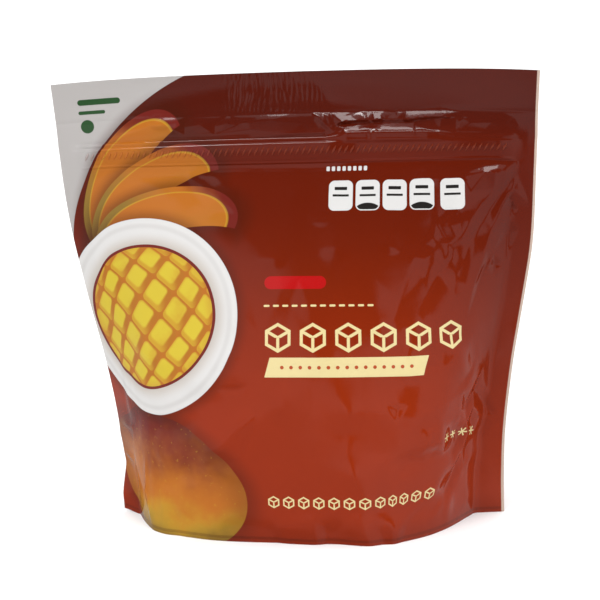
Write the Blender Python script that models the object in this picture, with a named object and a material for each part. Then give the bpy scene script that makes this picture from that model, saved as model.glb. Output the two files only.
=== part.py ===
"""Stand-up zip pouch of frozen fruit chunks: one closed solid, in metres, +Z up.

A front and a back sheet of film are heat-sealed down both sides and across the top. A third sheet,
the gusset, is folded up between them at the bottom and opens into the oval foot that the pouch
stands on. The front faces -Y. The origin is on the floor, below the middle of the pouch.
"""

import bmesh
import bpy
import numpy as np

MM = 0.001

# Film, as it lies flat
FILM_WIDTH = 216 * MM
SIDE_SEAL = 10 * MM
TOP_SEAL = 18 * MM
SEAL_THICKNESS = 0.6 * MM
GUSSET_DEPTH = 45 * MM
GUSSET_SEAL = 6 * MM

# The filled pouch, standing
HEIGHT = 203 * MM
FOOT_DEPTH = 39.5 * MM
BELLY_DEPTH = 40.5 * MM
BELLY_HEIGHT = 35 * MM
CORNER_RISE = 1.2 * MM
CORNER_RISE_HEIGHT = 40 * MM

# How the film runs round the filling in plan: 2 is a parabola, and more is boxier
FOOT_POWER = 4.8
ZIP_POWER = 2.3
POWER_FALL = 1.3

# How the front runs from the belly up to the zip: full for a long way, then quickly in
SHOULDER_POWER = 1.8
SHOULDER_ROUNDING = 0.6

# Zip strip, measured down from the top edge
ZIP_TOP = 28 * MM
ZIP_BOTTOM = 38.5 * MM
ZIP_HALF_THICKNESS = 0.9 * MM
RIB_HEIGHT = 0.9 * MM
RIB_WIDTH = 1.6 * MM
RIB_PITCH = 2.8 * MM
SLACK_HALF_THICKNESS = 1.6 * MM

# The top flap, bent by handling: its middle leans back and one end comes forward
TOP_BOW = 10 * MM
TOP_TWIST = 5 * MM
CORNER_DROOP = 1.5 * MM

# Fine wrinkles gather the film a little narrower round the zip
GATHER = 2.4 * MM
GATHER_HEIGHT = 161 * MM
GATHER_REACH = 42 * MM

# Frozen chunks that press the film out from inside
CHUNK_PITCH = 26 * MM
CHUNK_RELIEF = 1.3 * MM
CHUNK_REACH = 11 * MM
CHUNK_COLUMNS = 6
CHUNK_ROWS = 4
CHUNK_JITTER = 0.3
WEAKEST_CHUNK = 0.4
CHUNK_FREE_DEPTH = 32 * MM
CHUNK_SEED = 7

# The gusset's foot, pressed flat against the floor in the middle and rising to its seals
FLAT_HALF_LENGTH = 48 * MM
FLAT_SHARE = 0.78
SEAL_SWEEP_POWER = 4
FOLD_POWER = 2.2
FLOOR_POWER = 1.5
SLOT_GAP = 0.84 * MM

# Steps of the mesh
SKIRT_STEPS = 3
FLOOR_STEPS = 12
INNER_COLUMNS = 38
FIN_COLUMNS = 2
BODY_ROWS = 26
BAND_ROWS = 5
SEAL_ROWS = 3
ROW_SPREAD = 0.85
SECTION_SAMPLES = 400
SECTION_ROUNDS = 40
EDGE = 0.1 * MM
SHARP_ANGLE = 40

FRONT = -1
BACK = 1

INNER_HALF = FILM_WIDTH / 2 - SIDE_SEAL
ZIP_RIB = HEIGHT - ZIP_TOP
BODY_TOP = HEIGHT - ZIP_BOTTOM
SEAL_BOTTOM = HEIGHT - TOP_SEAL


def smooth(value):
    """0 below 0, 1 above 1, and an even curve between."""
    share = np.clip(value, 0, 1)
    return share * share * (3 - 2 * share)


def centre_depth(height):
    """How far the film stands off the pouch's middle plane, half way across."""
    if height < BELLY_HEIGHT:
        share = 1 - height / BELLY_HEIGHT
        return BELLY_DEPTH - (BELLY_DEPTH - FOOT_DEPTH) * share**2
    if height < BODY_TOP:
        share = (height - BELLY_HEIGHT) / (BODY_TOP - BELLY_HEIGHT)
        fullness = (1 - share**SHOULDER_POWER) ** SHOULDER_ROUNDING
        return ZIP_HALF_THICKNESS + (BELLY_DEPTH - ZIP_HALF_THICKNESS) * fullness
    return header_depth(height)


def header_depth(height):
    """Half the thickness of the top flap: zip strip, two ribs, the slack band, then the seal."""
    if height >= SEAL_BOTTOM:
        return 0.0
    if height <= ZIP_RIB + RIB_WIDTH:
        nearest = min(abs(height - ZIP_RIB), abs(height - ZIP_RIB + RIB_PITCH))
        return ZIP_HALF_THICKNESS + RIB_HEIGHT * float(1 - smooth(nearest / (RIB_WIDTH / 2)))
    share = (height - ZIP_RIB) / (SEAL_BOTTOM - ZIP_RIB)
    return SLACK_HALF_THICKNESS * float(np.sin(np.pi * share)) ** 0.5


def section_power(height):
    """The plan curve's power at that height: boxy at the foot, rounder towards the zip."""
    share = min(height / BODY_TOP, 1.0)
    return ZIP_POWER + (FOOT_POWER - ZIP_POWER) * (1 - share) ** POWER_FALL


def film_columns():
    """Places across the film, from its middle line, each seal's edge among them."""
    inner = np.linspace(-INNER_HALF, INNER_HALF, INNER_COLUMNS + 1)
    fin = np.linspace(INNER_HALF, FILM_WIDTH / 2, FIN_COLUMNS + 1)[1:]
    return np.concatenate([-fin[::-1], inner, fin])


def film_rows():
    """Heights of the rows, closer together where the zip's ribs stand out."""
    body = list(BODY_TOP * np.linspace(0, 1, BODY_ROWS + 1) ** ROW_SPREAD)
    half_rib = RIB_WIDTH / 2
    rib_rows = [ZIP_RIB - RIB_PITCH + shift for shift in (-half_rib, 0, half_rib)]
    rib_rows += [ZIP_RIB + shift for shift in (-half_rib, 0, half_rib)]
    below_ribs = (BODY_TOP + rib_rows[0]) / 2
    band = list(np.linspace(ZIP_RIB + half_rib, SEAL_BOTTOM, BAND_ROWS + 1)[1:])
    seal = list(np.linspace(SEAL_BOTTOM, HEIGHT, SEAL_ROWS + 1)[1:])
    return body + [below_ribs] + rib_rows + band + seal


def section(height, columns):
    """x and depth of the film at each column. The film keeps its width, so a deep belly is narrow."""
    depth = centre_depth(height)
    power = section_power(height)
    share = np.linspace(0, 1, SECTION_SAMPLES)
    low, high = 0.5 * INNER_HALF, INNER_HALF
    for _ in range(SECTION_ROUNDS):
        half = (low + high) / 2
        x = share * half
        y = depth * (1 - share**power)
        run = np.concatenate([[0], np.cumsum(np.hypot(np.diff(x), np.diff(y)))])
        if run[-1] > INNER_HALF:
            high = half
        else:
            low = half
    distance = np.abs(columns)
    beyond = np.maximum(distance - INNER_HALF, 0)
    across = np.interp(np.minimum(distance, run[-1]), run, x) + beyond
    standing_off = np.interp(np.minimum(distance, run[-1]), run, y)
    gather = GATHER * smooth(1 - abs(height - GATHER_HEIGHT) / GATHER_REACH)
    across *= 1 - gather / (FILM_WIDTH / 2)
    return np.sign(columns) * across, standing_off


def chunk_centres():
    """A jittered grid of places where a frozen chunk presses on the film."""
    rng = np.random.default_rng(CHUNK_SEED)
    centres = []
    for column in range(CHUNK_COLUMNS):
        for row in range(CHUNK_ROWS):
            shift = rng.uniform(-CHUNK_JITTER, CHUNK_JITTER, 2) * CHUNK_PITCH
            x = (column - (CHUNK_COLUMNS - 1) / 2) * CHUNK_PITCH + shift[0]
            z = (row + 1) * CHUNK_PITCH + shift[1]
            centres.append((x, z, rng.uniform(WEAKEST_CHUNK, 1)))
    return centres


def chunk_relief(x, height, depth, centres):
    """How far the chunks behind the film push it out there."""
    push = sum(
        strength * np.exp(-((x - cx) ** 2 + (height - cz) ** 2) / (2 * CHUNK_REACH**2))
        for cx, cz, strength in centres
    )
    return CHUNK_RELIEF * push * smooth(depth / CHUNK_FREE_DEPTH) * smooth(height / GUSSET_DEPTH)


def flap_lean(x, height):
    """Where the middle plane runs, in y: bowed back and twisted towards the top."""
    across = x / (FILM_WIDTH / 2)
    bow = TOP_BOW * (1 - across**2) * smooth((height - BODY_TOP) / (HEIGHT - BODY_TOP))
    twist = TOP_TWIST * across * smooth(height / HEIGHT)
    return bow + twist


def lift(x, columns, height):
    """How much a point rises above its row: the foot's corners rise, and the top's corners droop."""
    fin = smooth((np.abs(columns) - INNER_HALF) / SIDE_SEAL)
    rise = CORNER_RISE * fin * smooth(1 - height / CORNER_RISE_HEIGHT)
    droop = CORNER_DROOP * (x / (FILM_WIDTH / 2)) ** 4 * smooth(height / HEIGHT)
    return rise - droop


def sheet(side, heights, columns, inset=0.0):
    """Points of the front or back film, as [row, column, xyz]. An inset moves them into the pouch."""
    centres = chunk_centres()
    rows = []
    for height in heights:
        x, depth = section(height, columns)
        standing_off = depth + chunk_relief(x, height, depth, centres)
        slope = np.gradient(standing_off, x)
        length = np.hypot(1, slope)
        y = side * (SEAL_THICKNESS / 2 + standing_off - inset / length)
        x = x + inset * slope / length
        z = height + lift(x, columns, height)
        rows.append(np.stack([x, y + flap_lean(x, height), z], axis=-1))
    return np.array(rows)


def seal_height(column):
    """Top of the seal that joins the gusset to the front or back film: low in the middle."""
    sweep = abs(column / INNER_HALF) ** SEAL_SWEEP_POWER
    return GUSSET_SEAL + (GUSSET_DEPTH - GUSSET_SEAL) * sweep


def fold_height(column):
    """The gusset's middle fold: flat on the floor, then up to the side seals."""
    share = (abs(column) - FLAT_HALF_LENGTH) / (INNER_HALF - FLAT_HALF_LENGTH)
    return GUSSET_DEPTH * max(share, 0) ** FOLD_POWER


def underside_path(column):
    """Points from the front film's bottom edge, under the gusset, to the back film's bottom edge."""
    heights = np.linspace(0, seal_height(column), SKIRT_STEPS + 1)
    near = np.array([column - MM, column, column + MM])
    front = sheet(FRONT, heights, near, SEAL_THICKNESS)[:, 1]
    back = sheet(BACK, heights, near, SEAL_THICKNESS)[:, 1]
    floor = []
    for step in range(1, FLOOR_STEPS):
        across = 2 * step / FLOOR_STEPS - 1
        climb = max((abs(across) - FLAT_SHARE) / (1 - FLAT_SHARE), 0) ** FLOOR_POWER
        low = fold_height(column)
        point = front[-1] + (back[-1] - front[-1]) * (step / FLOOR_STEPS)
        point[2] = low + (seal_height(column) - low) * climb
        floor.append(point)
    return list(front) + floor + list(back[::-1])


def slot_end(side):
    """The line up a side seal where the gusset's two halves meet, bottom first."""
    heights = np.linspace(0, GUSSET_DEPTH, SKIRT_STEPS + 1)
    line = sheet(FRONT, heights, np.array([side * INNER_HALF, side * (INNER_HALF + MM)]))[:, 0]
    line[:, 0] -= side * SLOT_GAP
    line[:, 1] += SEAL_THICKNESS / 2
    return [point for point in line]


def add_strip(mesh, first, second):
    """Quads, or triangles at a shared point, between two equally long runs of vertices."""
    for a, b, c, d in zip(first[:-1], first[1:], second[1:], second[:-1]):
        corners = list(dict.fromkeys([a, b, c, d]))
        if len(corners) > 2:
            mesh.faces.new(corners)


def build_pouch():
    """The whole pouch as one closed mesh."""
    columns, rows = film_columns(), film_rows()
    mesh = bmesh.new()
    grids = {}
    for side in (FRONT, BACK):
        points = sheet(side, rows, columns)
        grids[side] = [[mesh.verts.new(point) for point in row] for row in points]
        for lower, upper in zip(grids[side][:-1], grids[side][1:]):
            add_strip(mesh, lower, upper)

    front, back = grids[FRONT], grids[BACK]
    add_strip(mesh, front[-1], back[-1])
    for edge in (0, -1):
        add_strip(mesh, [row[edge] for row in front], [row[edge] for row in back])

    paths = []
    last = len(columns) - 1
    for index, column in enumerate(columns):
        ends = front[0][index], back[0][index]
        if index in (0, last):
            paths.append([ends[0], ends[0], ends[1]])
            continue
        distance = abs(column) - INNER_HALF
        if distance > EDGE:
            middle = mesh.verts.new((ends[0].co + ends[1].co) / 2)
            paths.append([ends[0], middle, ends[1]])
        elif distance > -EDGE:
            line = [mesh.verts.new(point) for point in slot_end(np.sign(column))]
            top = [line[-1]] * (FLOOR_STEPS - 1)
            paths.append([ends[0]] + line + top + line[::-1] + [ends[1]])
        else:
            points = [mesh.verts.new(point) for point in underside_path(column)]
            paths.append([ends[0]] + points + [ends[1]])
    close_underside(mesh, paths)

    bmesh.ops.recalc_face_normals(mesh, faces=mesh.faces)
    bmesh.ops.triangulate(mesh, faces=mesh.faces)
    data = bpy.data.meshes.new("pouch")
    mesh.to_mesh(data)
    mesh.free()
    data.shade_smooth()
    data.set_sharp_from_angle(angle=np.radians(SHARP_ANGLE))
    return data


def close_underside(mesh, paths):
    """Faces between neighbouring columns' underside paths."""
    for first, second in zip(paths[:-1], paths[1:]):
        if len(first) == len(second):
            add_strip(mesh, first, second)
            continue
        short, long = sorted((first, second), key=len)
        mesh.faces.new(list(dict.fromkeys([short[0], short[1], long[1], long[0]])))
        mesh.faces.new(list(dict.fromkeys([short[-1], short[-2], long[-2], long[-1]])))


def film_material():
    """Glossy printed film, brick red."""
    material = bpy.data.materials.new("printed_film")
    material.use_nodes = True
    shader = material.node_tree.nodes["Principled BSDF"]
    shader.inputs["Base Color"].default_value = (0.26, 0.035, 0.012, 1)
    shader.inputs["Roughness"].default_value = 0.3
    shader.inputs["Metallic"].default_value = 0.0
    return material


for old in list(bpy.data.objects):
    bpy.data.objects.remove(old)
pouch = bpy.data.objects.new("pouch", build_pouch())
pouch.data.materials.append(film_material())
bpy.context.scene.collection.objects.link(pouch)
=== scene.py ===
"""Looks of a shut stand-up zip pouch of frozen fruit: glossy printed film, creased by its filling.

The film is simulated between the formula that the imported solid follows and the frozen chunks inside.
Then the zip's ribs, the seals and the sharp handling creases are pressed into a finer mesh of it.
Film coordinates are in millimetres: u runs across from the middle and v up from the bottom edge.
"""

import math

import bmesh
import bpy
import numpy as np
from mathutils import Matrix, Vector
from mathutils.geometry import delaunay_2d_cdt


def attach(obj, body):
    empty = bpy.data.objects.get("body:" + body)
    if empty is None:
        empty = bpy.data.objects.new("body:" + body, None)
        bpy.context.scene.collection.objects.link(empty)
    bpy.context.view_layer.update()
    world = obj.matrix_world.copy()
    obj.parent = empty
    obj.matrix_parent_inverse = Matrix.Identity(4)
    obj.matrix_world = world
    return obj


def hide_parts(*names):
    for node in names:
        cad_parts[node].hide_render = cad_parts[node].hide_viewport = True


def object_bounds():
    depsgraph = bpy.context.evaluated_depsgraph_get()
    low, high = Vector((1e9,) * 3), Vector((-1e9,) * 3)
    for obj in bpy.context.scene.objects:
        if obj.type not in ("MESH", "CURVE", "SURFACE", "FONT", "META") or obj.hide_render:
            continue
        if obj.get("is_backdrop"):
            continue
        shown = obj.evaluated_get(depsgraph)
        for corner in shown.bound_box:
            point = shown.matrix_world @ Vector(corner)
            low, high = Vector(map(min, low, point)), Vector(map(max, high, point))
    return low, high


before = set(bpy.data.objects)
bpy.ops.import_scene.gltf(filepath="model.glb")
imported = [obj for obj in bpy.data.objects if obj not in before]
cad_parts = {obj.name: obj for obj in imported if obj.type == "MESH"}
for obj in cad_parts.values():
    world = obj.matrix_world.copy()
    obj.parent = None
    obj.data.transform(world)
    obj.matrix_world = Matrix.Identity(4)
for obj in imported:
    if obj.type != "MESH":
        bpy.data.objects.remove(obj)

CAD_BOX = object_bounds()
MM = 0.001

# Film, as it lies flat
FILM_WIDTH = round((CAD_BOX[1].x - CAD_BOX[0].x) / MM)
FILM_HEIGHT = 210.0
SIDE_SEAL = 10.0
TOP_SEAL = 18.0
SEAL_THICKNESS = 0.6
GUSSET_DEPTH = 45.0
GUSSET_SEAL = 6.0

# The filled pouch, standing
HEIGHT = CAD_BOX[1].z / MM
FOOT_DEPTH = 39.5
BELLY_DEPTH = 40.5
BELLY_HEIGHT = 35.0
FOOT_POWER = 4.8
ZIP_POWER = 2.3
POWER_FALL = 1.3
SHOULDER_POWER = 1.8
SHOULDER_ROUNDING = 0.8
TOP_BOW = 10.0
TOP_TWIST = 5.0
CORNER_DROOP = 1.5
CORNER_RISE_HEIGHT = 40.0
GATHER = 2.4
GATHER_HEIGHT = 161.0
GATHER_REACH = 42.0
FLAP_SPREAD = 42.0
FIN_BLEND = 12.0

# Zip strip, measured down from the top edge
ZIP_TOP = 28.0
ZIP_BOTTOM = 38.5
ZIP_HALF_THICKNESS = 0.9

INNER = FILM_WIDTH / 2 - SIDE_SEAL
HALF = FILM_WIDTH / 2
RIB_Z = HEIGHT - ZIP_TOP
RIDGE_Z = HEIGHT - ZIP_BOTTOM
RIB_V = FILM_HEIGHT - ZIP_TOP
RIDGE_V = FILM_HEIGHT - ZIP_BOTTOM
SEAL_V = FILM_HEIGHT - TOP_SEAL

FRONT, BACK = 0, 1
SIDES = np.array([-1.0, 1.0])


def smooth(value):
    """0 below 0, 1 above 1, and an even curve between."""
    share = np.clip(value, 0, 1)
    return share * share * (3 - 2 * share)


def rise(value, start, over):
    """0 up to start and 1 from so far above it, with an even curve between."""
    return smooth((value - start) / over)


def fall(value, end, over):
    """1 until so far below the end and 0 from there on, with an even curve between."""
    return smooth((end - value) / over)


# ---------------------------------------------------------------- the formula that the solid follows


def centre_depth(z):
    """How far the film stands off the pouch's middle plane, half way across."""
    if z >= RIDGE_Z:
        return ZIP_HALF_THICKNESS
    if z < BELLY_HEIGHT:
        return BELLY_DEPTH - (BELLY_DEPTH - FOOT_DEPTH) * (1 - z / BELLY_HEIGHT) ** 2
    share = (z - BELLY_HEIGHT) / (RIDGE_Z - BELLY_HEIGHT)
    fullness = (1 - share**SHOULDER_POWER) ** SHOULDER_ROUNDING
    return ZIP_HALF_THICKNESS + (BELLY_DEPTH - ZIP_HALF_THICKNESS) * fullness


SECTION_POINTS = 400
HALVINGS = 30


def section(z):
    """Film run, x and depth from the middle to the side seal at height z. The film keeps its width."""
    depth = centre_depth(z)
    power = ZIP_POWER + (FOOT_POWER - ZIP_POWER) * (1 - min(z / RIDGE_Z, 1)) ** POWER_FALL
    share = np.linspace(0, 1, SECTION_POINTS)
    low, high = 0.5 * INNER, INNER
    for _ in range(HALVINGS):
        half = (low + high) / 2
        x, y = share * half, depth * (1 - share**power)
        run = np.concatenate([[0], np.cumsum(np.hypot(np.diff(x), np.diff(y)))])
        low, high = (low, half) if run[-1] > INNER else (half, high)
    gather = GATHER * smooth(1 - abs(z - GATHER_HEIGHT) / GATHER_REACH)
    return run, x * (1 - gather / HALF), y


def flap_lean(x, z):
    """Where the middle plane runs, in y: bowed back and twisted towards the top."""
    across = x / HALF
    bow = TOP_BOW * (1 - across**2) * smooth((z - RIDGE_Z) / (HEIGHT - RIDGE_Z))
    return bow + TOP_TWIST * across * smooth(z / HEIGHT)


# Folds near the foot shorten the side seals below this place
FIN_BREAK_V = 85.0
FIN_BREAK_Z = 78.6


def fin_height(v):
    """Height of the side seals at film height v."""
    top = HEIGHT - (FILM_HEIGHT - v) * (HEIGHT - FIN_BREAK_Z) / (FILM_HEIGHT - FIN_BREAK_V)
    return np.where(v > FIN_BREAK_V, top, v * FIN_BREAK_Z / FIN_BREAK_V)


# Each side fin is turned out of its plane towards the foot: degrees there, and how far up it starts
FIN_HINGE = 12.0
FIN_TURNS = {-1: (34.0, 46.0), 1: (-14.0, 60.0)}
FIN_RISES = {-1: 1.6, 1: 0.0}
# Lazy waves of the fins: size, length, and shift from one side to the other
FIN_WAVES = ((0.7, 17.0, 1.3), (0.3, 8.5, 2.1))
# Over how much height they set in at the foot, and fade below the zip
FIN_WAVE_FADES = (12, 60)


def fin_swing(u, v):
    """How far the fin at that side moves in x and y: lazy waves, and a turned corner at the foot."""
    side = -1 if u < 0 else 1
    past = max(abs(u) - HALF + FIN_HINGE, 0.0)
    degrees, reach = FIN_TURNS[side]
    angle = np.radians(degrees) * smooth(1 - v / reach)
    wave = sum(size * np.sin(v / span + shift * side) for size, span, shift in FIN_WAVES)
    low, high = FIN_WAVE_FADES
    wave *= fall(v, RIDGE_V, high) * smooth(v / low) * past / FIN_HINGE
    return -side * past * (1 - np.cos(angle)), wave - past * np.sin(angle)


def formula_shape(spacing):
    """The film's grid, laid on the formula so that each column keeps its length up to the zip."""
    u = np.arange(-HALF, HALF + 0.01, spacing)
    v = np.arange(0, FILM_HEIGHT + 0.01, spacing)
    heights = np.arange(0, RIB_Z + 0.01, 1.0)
    sections = [section(z) for z in heights]
    reach = np.abs(u)
    inner_reach = np.minimum(reach, INNER)
    past = np.maximum(reach - INNER, 0)
    across = np.array([np.interp(inner_reach, run, x) + past for run, x, _ in sections])
    depths = np.array([np.interp(inner_reach, run, y) * (reach < INNER) for run, _, y in sections])
    steps = np.sqrt(np.diff(across, axis=0) ** 2 + np.diff(depths, axis=0) ** 2 + 1)
    lengths = np.concatenate([np.zeros((1, len(u))), np.cumsum(steps, axis=0)])
    points = np.zeros((2, len(v), len(u), 3))
    for column in range(len(u)):
        share = lengths[:, column] / lengths[-1, column] * RIB_V
        z = np.where(v < RIB_V, np.interp(v, share, heights), v - RIB_V + RIB_Z)
        fin = smooth((reach[column] - INNER + FIN_BLEND) / FIN_BLEND)
        z = z * (1 - fin) + fin_height(v) * fin
        x = np.interp(z, heights, across[:, column])
        at_zip = across[-1, column]
        to_top = at_zip + (reach[column] - at_zip) * smooth((z - RIB_Z) / FLAP_SPREAD)
        x = np.sign(u[column]) * np.where(z > RIB_Z, to_top, x)
        depth = np.interp(z, heights, depths[:, column], right=0)
        seal = smooth((reach[column] - INNER) / SIDE_SEAL)
        lift = FIN_RISES[-1 if u[column] < 0 else 1] * seal * smooth(1 - z / CORNER_RISE_HEIGHT)
        droop = CORNER_DROOP * (x / HALF) ** 4 * smooth(z / HEIGHT)
        swing_x, swing_y = fin_swing(u[column], v)
        for side, sign in enumerate(SIDES):
            y = sign * depth + flap_lean(x, z) + swing_y
            points[side, :, column] = np.stack([x + swing_x, y, z + lift - droop], axis=-1)
    return u, v, points


# ---------------------------------------------------------------- film simulation

FLAT_SHARE = 0.2
BEND = 0.3
PRESSURE = 0.0006
DAMPING = 0.85
# The pressure grows over this share of the steps, and the contact is looked up once in so many steps
FILL_TIME, CONTACT_EVERY = 0.4, 10
COARSE, FINE = 3.0, 1.5
COARSE_STEPS, FINE_STEPS, QUICK_STEPS = 900, 350, 60
UNEVENNESS, UNEVEN_SIZE = 0.5, 30
OUTER_ROOM = 2.2
# The frozen chunks lie in rows, each shifted, turned, tilted and sunk by chance
CHUNK_SIZE = 21.0
CHUNK_SPACING = 0.95
CHUNK_SHIFT = 6.0
CHUNK_SLOPES = (0.05, 0.28)
CHUNK_SINK = 3.0
CHUNK_HALVES = (0.36, 0.48)
CHUNK_FLANK = 1.4
CHUNK_SEEDS = (5, 9)
CHUNK_ROUNDING, CHUNK_LIFT = 2.2, 1.8
GAP_DEPTH, FULL_DEPTH = -6.0, 25
# Where the filling ends towards the top: depth, height, and over how much height
FILL_FADES = ((4, 93, 25), (40, 118, 30))
FILM_SEED = 3
MAP_HALF, MAP_ROWS = 110, 211


def depth_map():
    """Depth of the formula's surface over x and z, each on a 1 mm grid."""
    places = np.arange(-MAP_HALF, MAP_HALF + 1.0)
    depth = np.zeros((MAP_ROWS, len(places)))
    for z in range(int(RIDGE_Z)):
        _, x, y = section(float(z))
        depth[z] = np.interp(np.abs(places), x, y, right=0.0)
    return depth


def between(values, across, up):
    """Values of a grid at places between its columns and rows."""
    across = np.clip(across, 0, values.shape[1] - 1.001)
    up = np.clip(up, 0, values.shape[0] - 1.001)
    column, row = across.astype(int), up.astype(int)
    a, b = across - column, up - row
    if values.ndim > 2:
        a, b = a[..., None], b[..., None]
    low = values[row, column] * (1 - a) + values[row, column + 1] * a
    high = values[row + 1, column] * (1 - a) + values[row + 1, column + 1] * a
    return low * (1 - b) + high * b


def blur(table, width):
    """The table, smoothed over that many entries."""
    reach = int(3 * width)
    weights = np.exp(-0.5 * (np.arange(-reach, reach + 1) / width) ** 2)
    weights /= weights.sum()
    for axis in (0, 1):
        room = [(reach, reach) if a == axis else (0, 0) for a in (0, 1)]
        padded = np.pad(table, room, mode="edge")
        size = table.shape[axis]
        parts = [w * np.take(padded, range(i, i + size), axis=axis) for i, w in enumerate(weights)]
        table = sum(parts)
    return table


def filling(depth, seed):
    """How far the frozen chunks reach towards the film: the tops of tumbled cubes."""
    rng = np.random.default_rng(seed)
    x, z = np.meshgrid(np.arange(-MAP_HALF, MAP_HALF + 1.0), np.arange(float(MAP_ROWS)))
    top = np.full(depth.shape, GAP_DEPTH)
    for across in np.arange(-4, 5):
        for up in np.arange(0.3, 6):
            shift = rng.uniform(-CHUNK_SHIFT, CHUNK_SHIFT, 2)
            turn, slope = rng.uniform(0, np.pi), rng.uniform(*CHUNK_SLOPES)
            way, height = rng.uniform(0, 2 * np.pi), rng.uniform(-CHUNK_SINK, 0.0)
            dx = x - across * CHUNK_SIZE * CHUNK_SPACING - shift[0]
            dz = z - up * CHUNK_SIZE * CHUNK_SPACING - shift[1]
            first = dx * np.cos(turn) + dz * np.sin(turn)
            second = dz * np.cos(turn) - dx * np.sin(turn)
            half = CHUNK_SIZE * rng.uniform(*CHUNK_HALVES)
            beyond = np.maximum(np.abs(first), np.abs(second)) - half
            plane = height + slope * (dx * np.cos(way) + dz * np.sin(way))
            top = np.maximum(top, plane - CHUNK_FLANK * np.clip(beyond, 0, None))
    top = blur(top, CHUNK_ROUNDING) + CHUNK_LIFT
    fade = sum(drop * smooth((z - height) / reach) for drop, height, reach in FILL_FADES)
    return depth + top * np.clip(depth / FULL_DEPTH, 0, 1) - fade


# The film folds most where it keeps its true length: below the zip and inside the seals, each from so
# far off and over so much, and less in the middle than towards the sides
FOLDS_BELOW_ZIP, FOLDS_INSIDE = (10, 60), (4, 20)
MIDDLE_SHARE, SIDE_SHARE, SIDE_FROM, SIDE_OVER = 0.35, 0.65, 30, 40


def kept_share(u, v):
    """How much of the film's true length is kept, and so where it has to fold."""
    body = rise(RIDGE_V - v, *FOLDS_BELOW_ZIP)
    inside = rise(INNER - np.abs(u), *FOLDS_INSIDE)
    side = MIDDLE_SHARE + SIDE_SHARE * rise(np.abs(u), SIDE_FROM, SIDE_OVER)
    return FLAT_SHARE * body * inside * side * (v < RIDGE_V)


UNEVEN_WAVES = 24


def uneven(rng, u, v, size, amount):
    """Low, smooth bumps about that many millimetres across, on both sheets."""
    bumps = np.zeros((2,) + u.shape)
    for side in (FRONT, BACK):
        for _ in range(UNEVEN_WAVES):
            wave = rng.normal(0, 2 * np.pi / size, 2)
            bumps[side] += np.sin(u * wave[0] + v * wave[1] + rng.uniform(0, 2 * np.pi))
    return bumps * amount / math.sqrt(UNEVEN_WAVES / 2)


def turns(shape, down, across):
    """Pairs of points that many rows and columns apart, in turns in which no point comes twice."""
    rows, columns = shape
    step = 2 * (down or across)
    for phase in range(step):
        if down:
            first = slice(phase, rows - down, step)
            second = slice(phase + down, rows, step)
            left = slice(max(-across, 0), columns - max(across, 0))
            right = slice(max(across, 0), columns - max(-across, 0))
            yield (slice(None), first, left), (slice(None), second, right)
        else:
            first = slice(phase, columns - across, step)
            second = slice(phase + across, columns, step)
            yield (slice(None), slice(None), first), (slice(None), slice(None), second)


def pull(points, first, second, rest, give):
    """Moves pairs of points towards their rest distance, by that share of the error."""
    apart = points[second] - points[first]
    length = np.sqrt((apart * apart).sum(-1, keepdims=True)) + 1e-9
    apart *= (give * 0.5) * (length - rest) / length
    points[first] += apart
    points[second] -= apart


def rest_field(goal, share, spacing, down, across):
    """Rest distance from each point to the one that many rows and columns on."""
    rows, columns = goal.shape[1:3]
    start = goal[:, : rows - down, max(-across, 0) : columns - max(across, 0)]
    end = goal[:, down:, max(across, 0) : columns - max(-across, 0)]
    kept = share[: rows - down, max(-across, 0) : columns - max(across, 0)][None, :, :, None]
    true = spacing * math.hypot(down, across)
    return (1 - kept) * np.linalg.norm(end - start, axis=-1, keepdims=True) + kept * true


# The film's springs: rows and columns apart, and stiffness
THREADS = ((0, 1, 1.0), (1, 0, 1.0))
DIAGONALS = ((1, 1, 0.6), (1, -1, 0.6))
BENDS = ((0, 2, BEND), (2, 0, BEND), (0, 4, BEND), (4, 0, BEND))


def film_pairs(goal, u, v, spacing):
    """Pairs of points that a spring joins, each with its rest length and stiffness."""
    share = kept_share(u, v)
    pairs = []
    for down, across, give in THREADS + DIAGONALS + BENDS:
        step, axis = max(down, across), 1 if down else 2
        one = rest_field(goal, share, spacing, min(down, 1), min(across, 1))
        size = one.shape[axis] - step + 1
        rest = sum(np.take(one, range(start, start + size), axis=axis) for start in range(step))
        rest = rest.astype(np.float32)
        for first, second in turns(goal.shape[1:3], down, across):
            where = (slice(None), first[1], slice(None) if down else first[2])
            pairs.append((first, second, rest[where], give))
    return pairs


# Play in comparisons with places of the grid, and how far the zip's grip reaches below and above it
NEAR = 0.01
ZIP_BELOW, ZIP_ABOVE = 0.6, 1.6
FOOT_HOLD, FOOT_HOLD_TOP = 0.3, 10


def in_zip(v):
    return (v > RIDGE_V - ZIP_BELOW) & (v < RIB_V + ZIP_ABOVE)


def anchor_weights(u, v):
    """How firmly each point is held where the formula puts it, as a share a step, for x, y and z."""
    hold, hold_y = np.zeros(u.shape), np.zeros(u.shape)
    # Side seals, their outer edges, all from the zip's lower edge up, the zip, and the top edge:
    # where, hold in x and z, and hold in y
    places = (
        (np.abs(u) > INNER - NEAR, 0.03, 0.01),
        (np.abs(u) > HALF - NEAR, 0.15, 0.03),
        (v > RIDGE_V - ZIP_BELOW, 0.02, 0.01),
        (in_zip(v), 0.1, 0.05),
        (v > FILM_HEIGHT - NEAR, 0.1, 0.06),
    )
    for where, across, off in places:
        hold[where], hold_y[where] = across, off
    low = FOOT_HOLD * fall(v, FOOT_HOLD_TOP, FOOT_HOLD_TOP)
    hold, hold_y = np.maximum(hold, low), np.maximum(hold_y, low)
    return np.stack([hold, hold_y, hold], axis=-1)[None].astype(np.float32)


def push_out(points, pressure, body):
    """Moves the body's film along its normals."""
    along = points[:, 1:-1, 2:] - points[:, 1:-1, :-2]
    up = points[:, 2:, 1:-1] - points[:, :-2, 1:-1]
    normal = np.cross(along, up)
    normal /= np.sqrt((normal * normal).sum(-1, keepdims=True)) + 1e-9
    normal[BACK] *= -1
    points[:, 1:-1, 1:-1] += normal * pressure * body[None, 1:-1, 1:-1, None]


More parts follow.
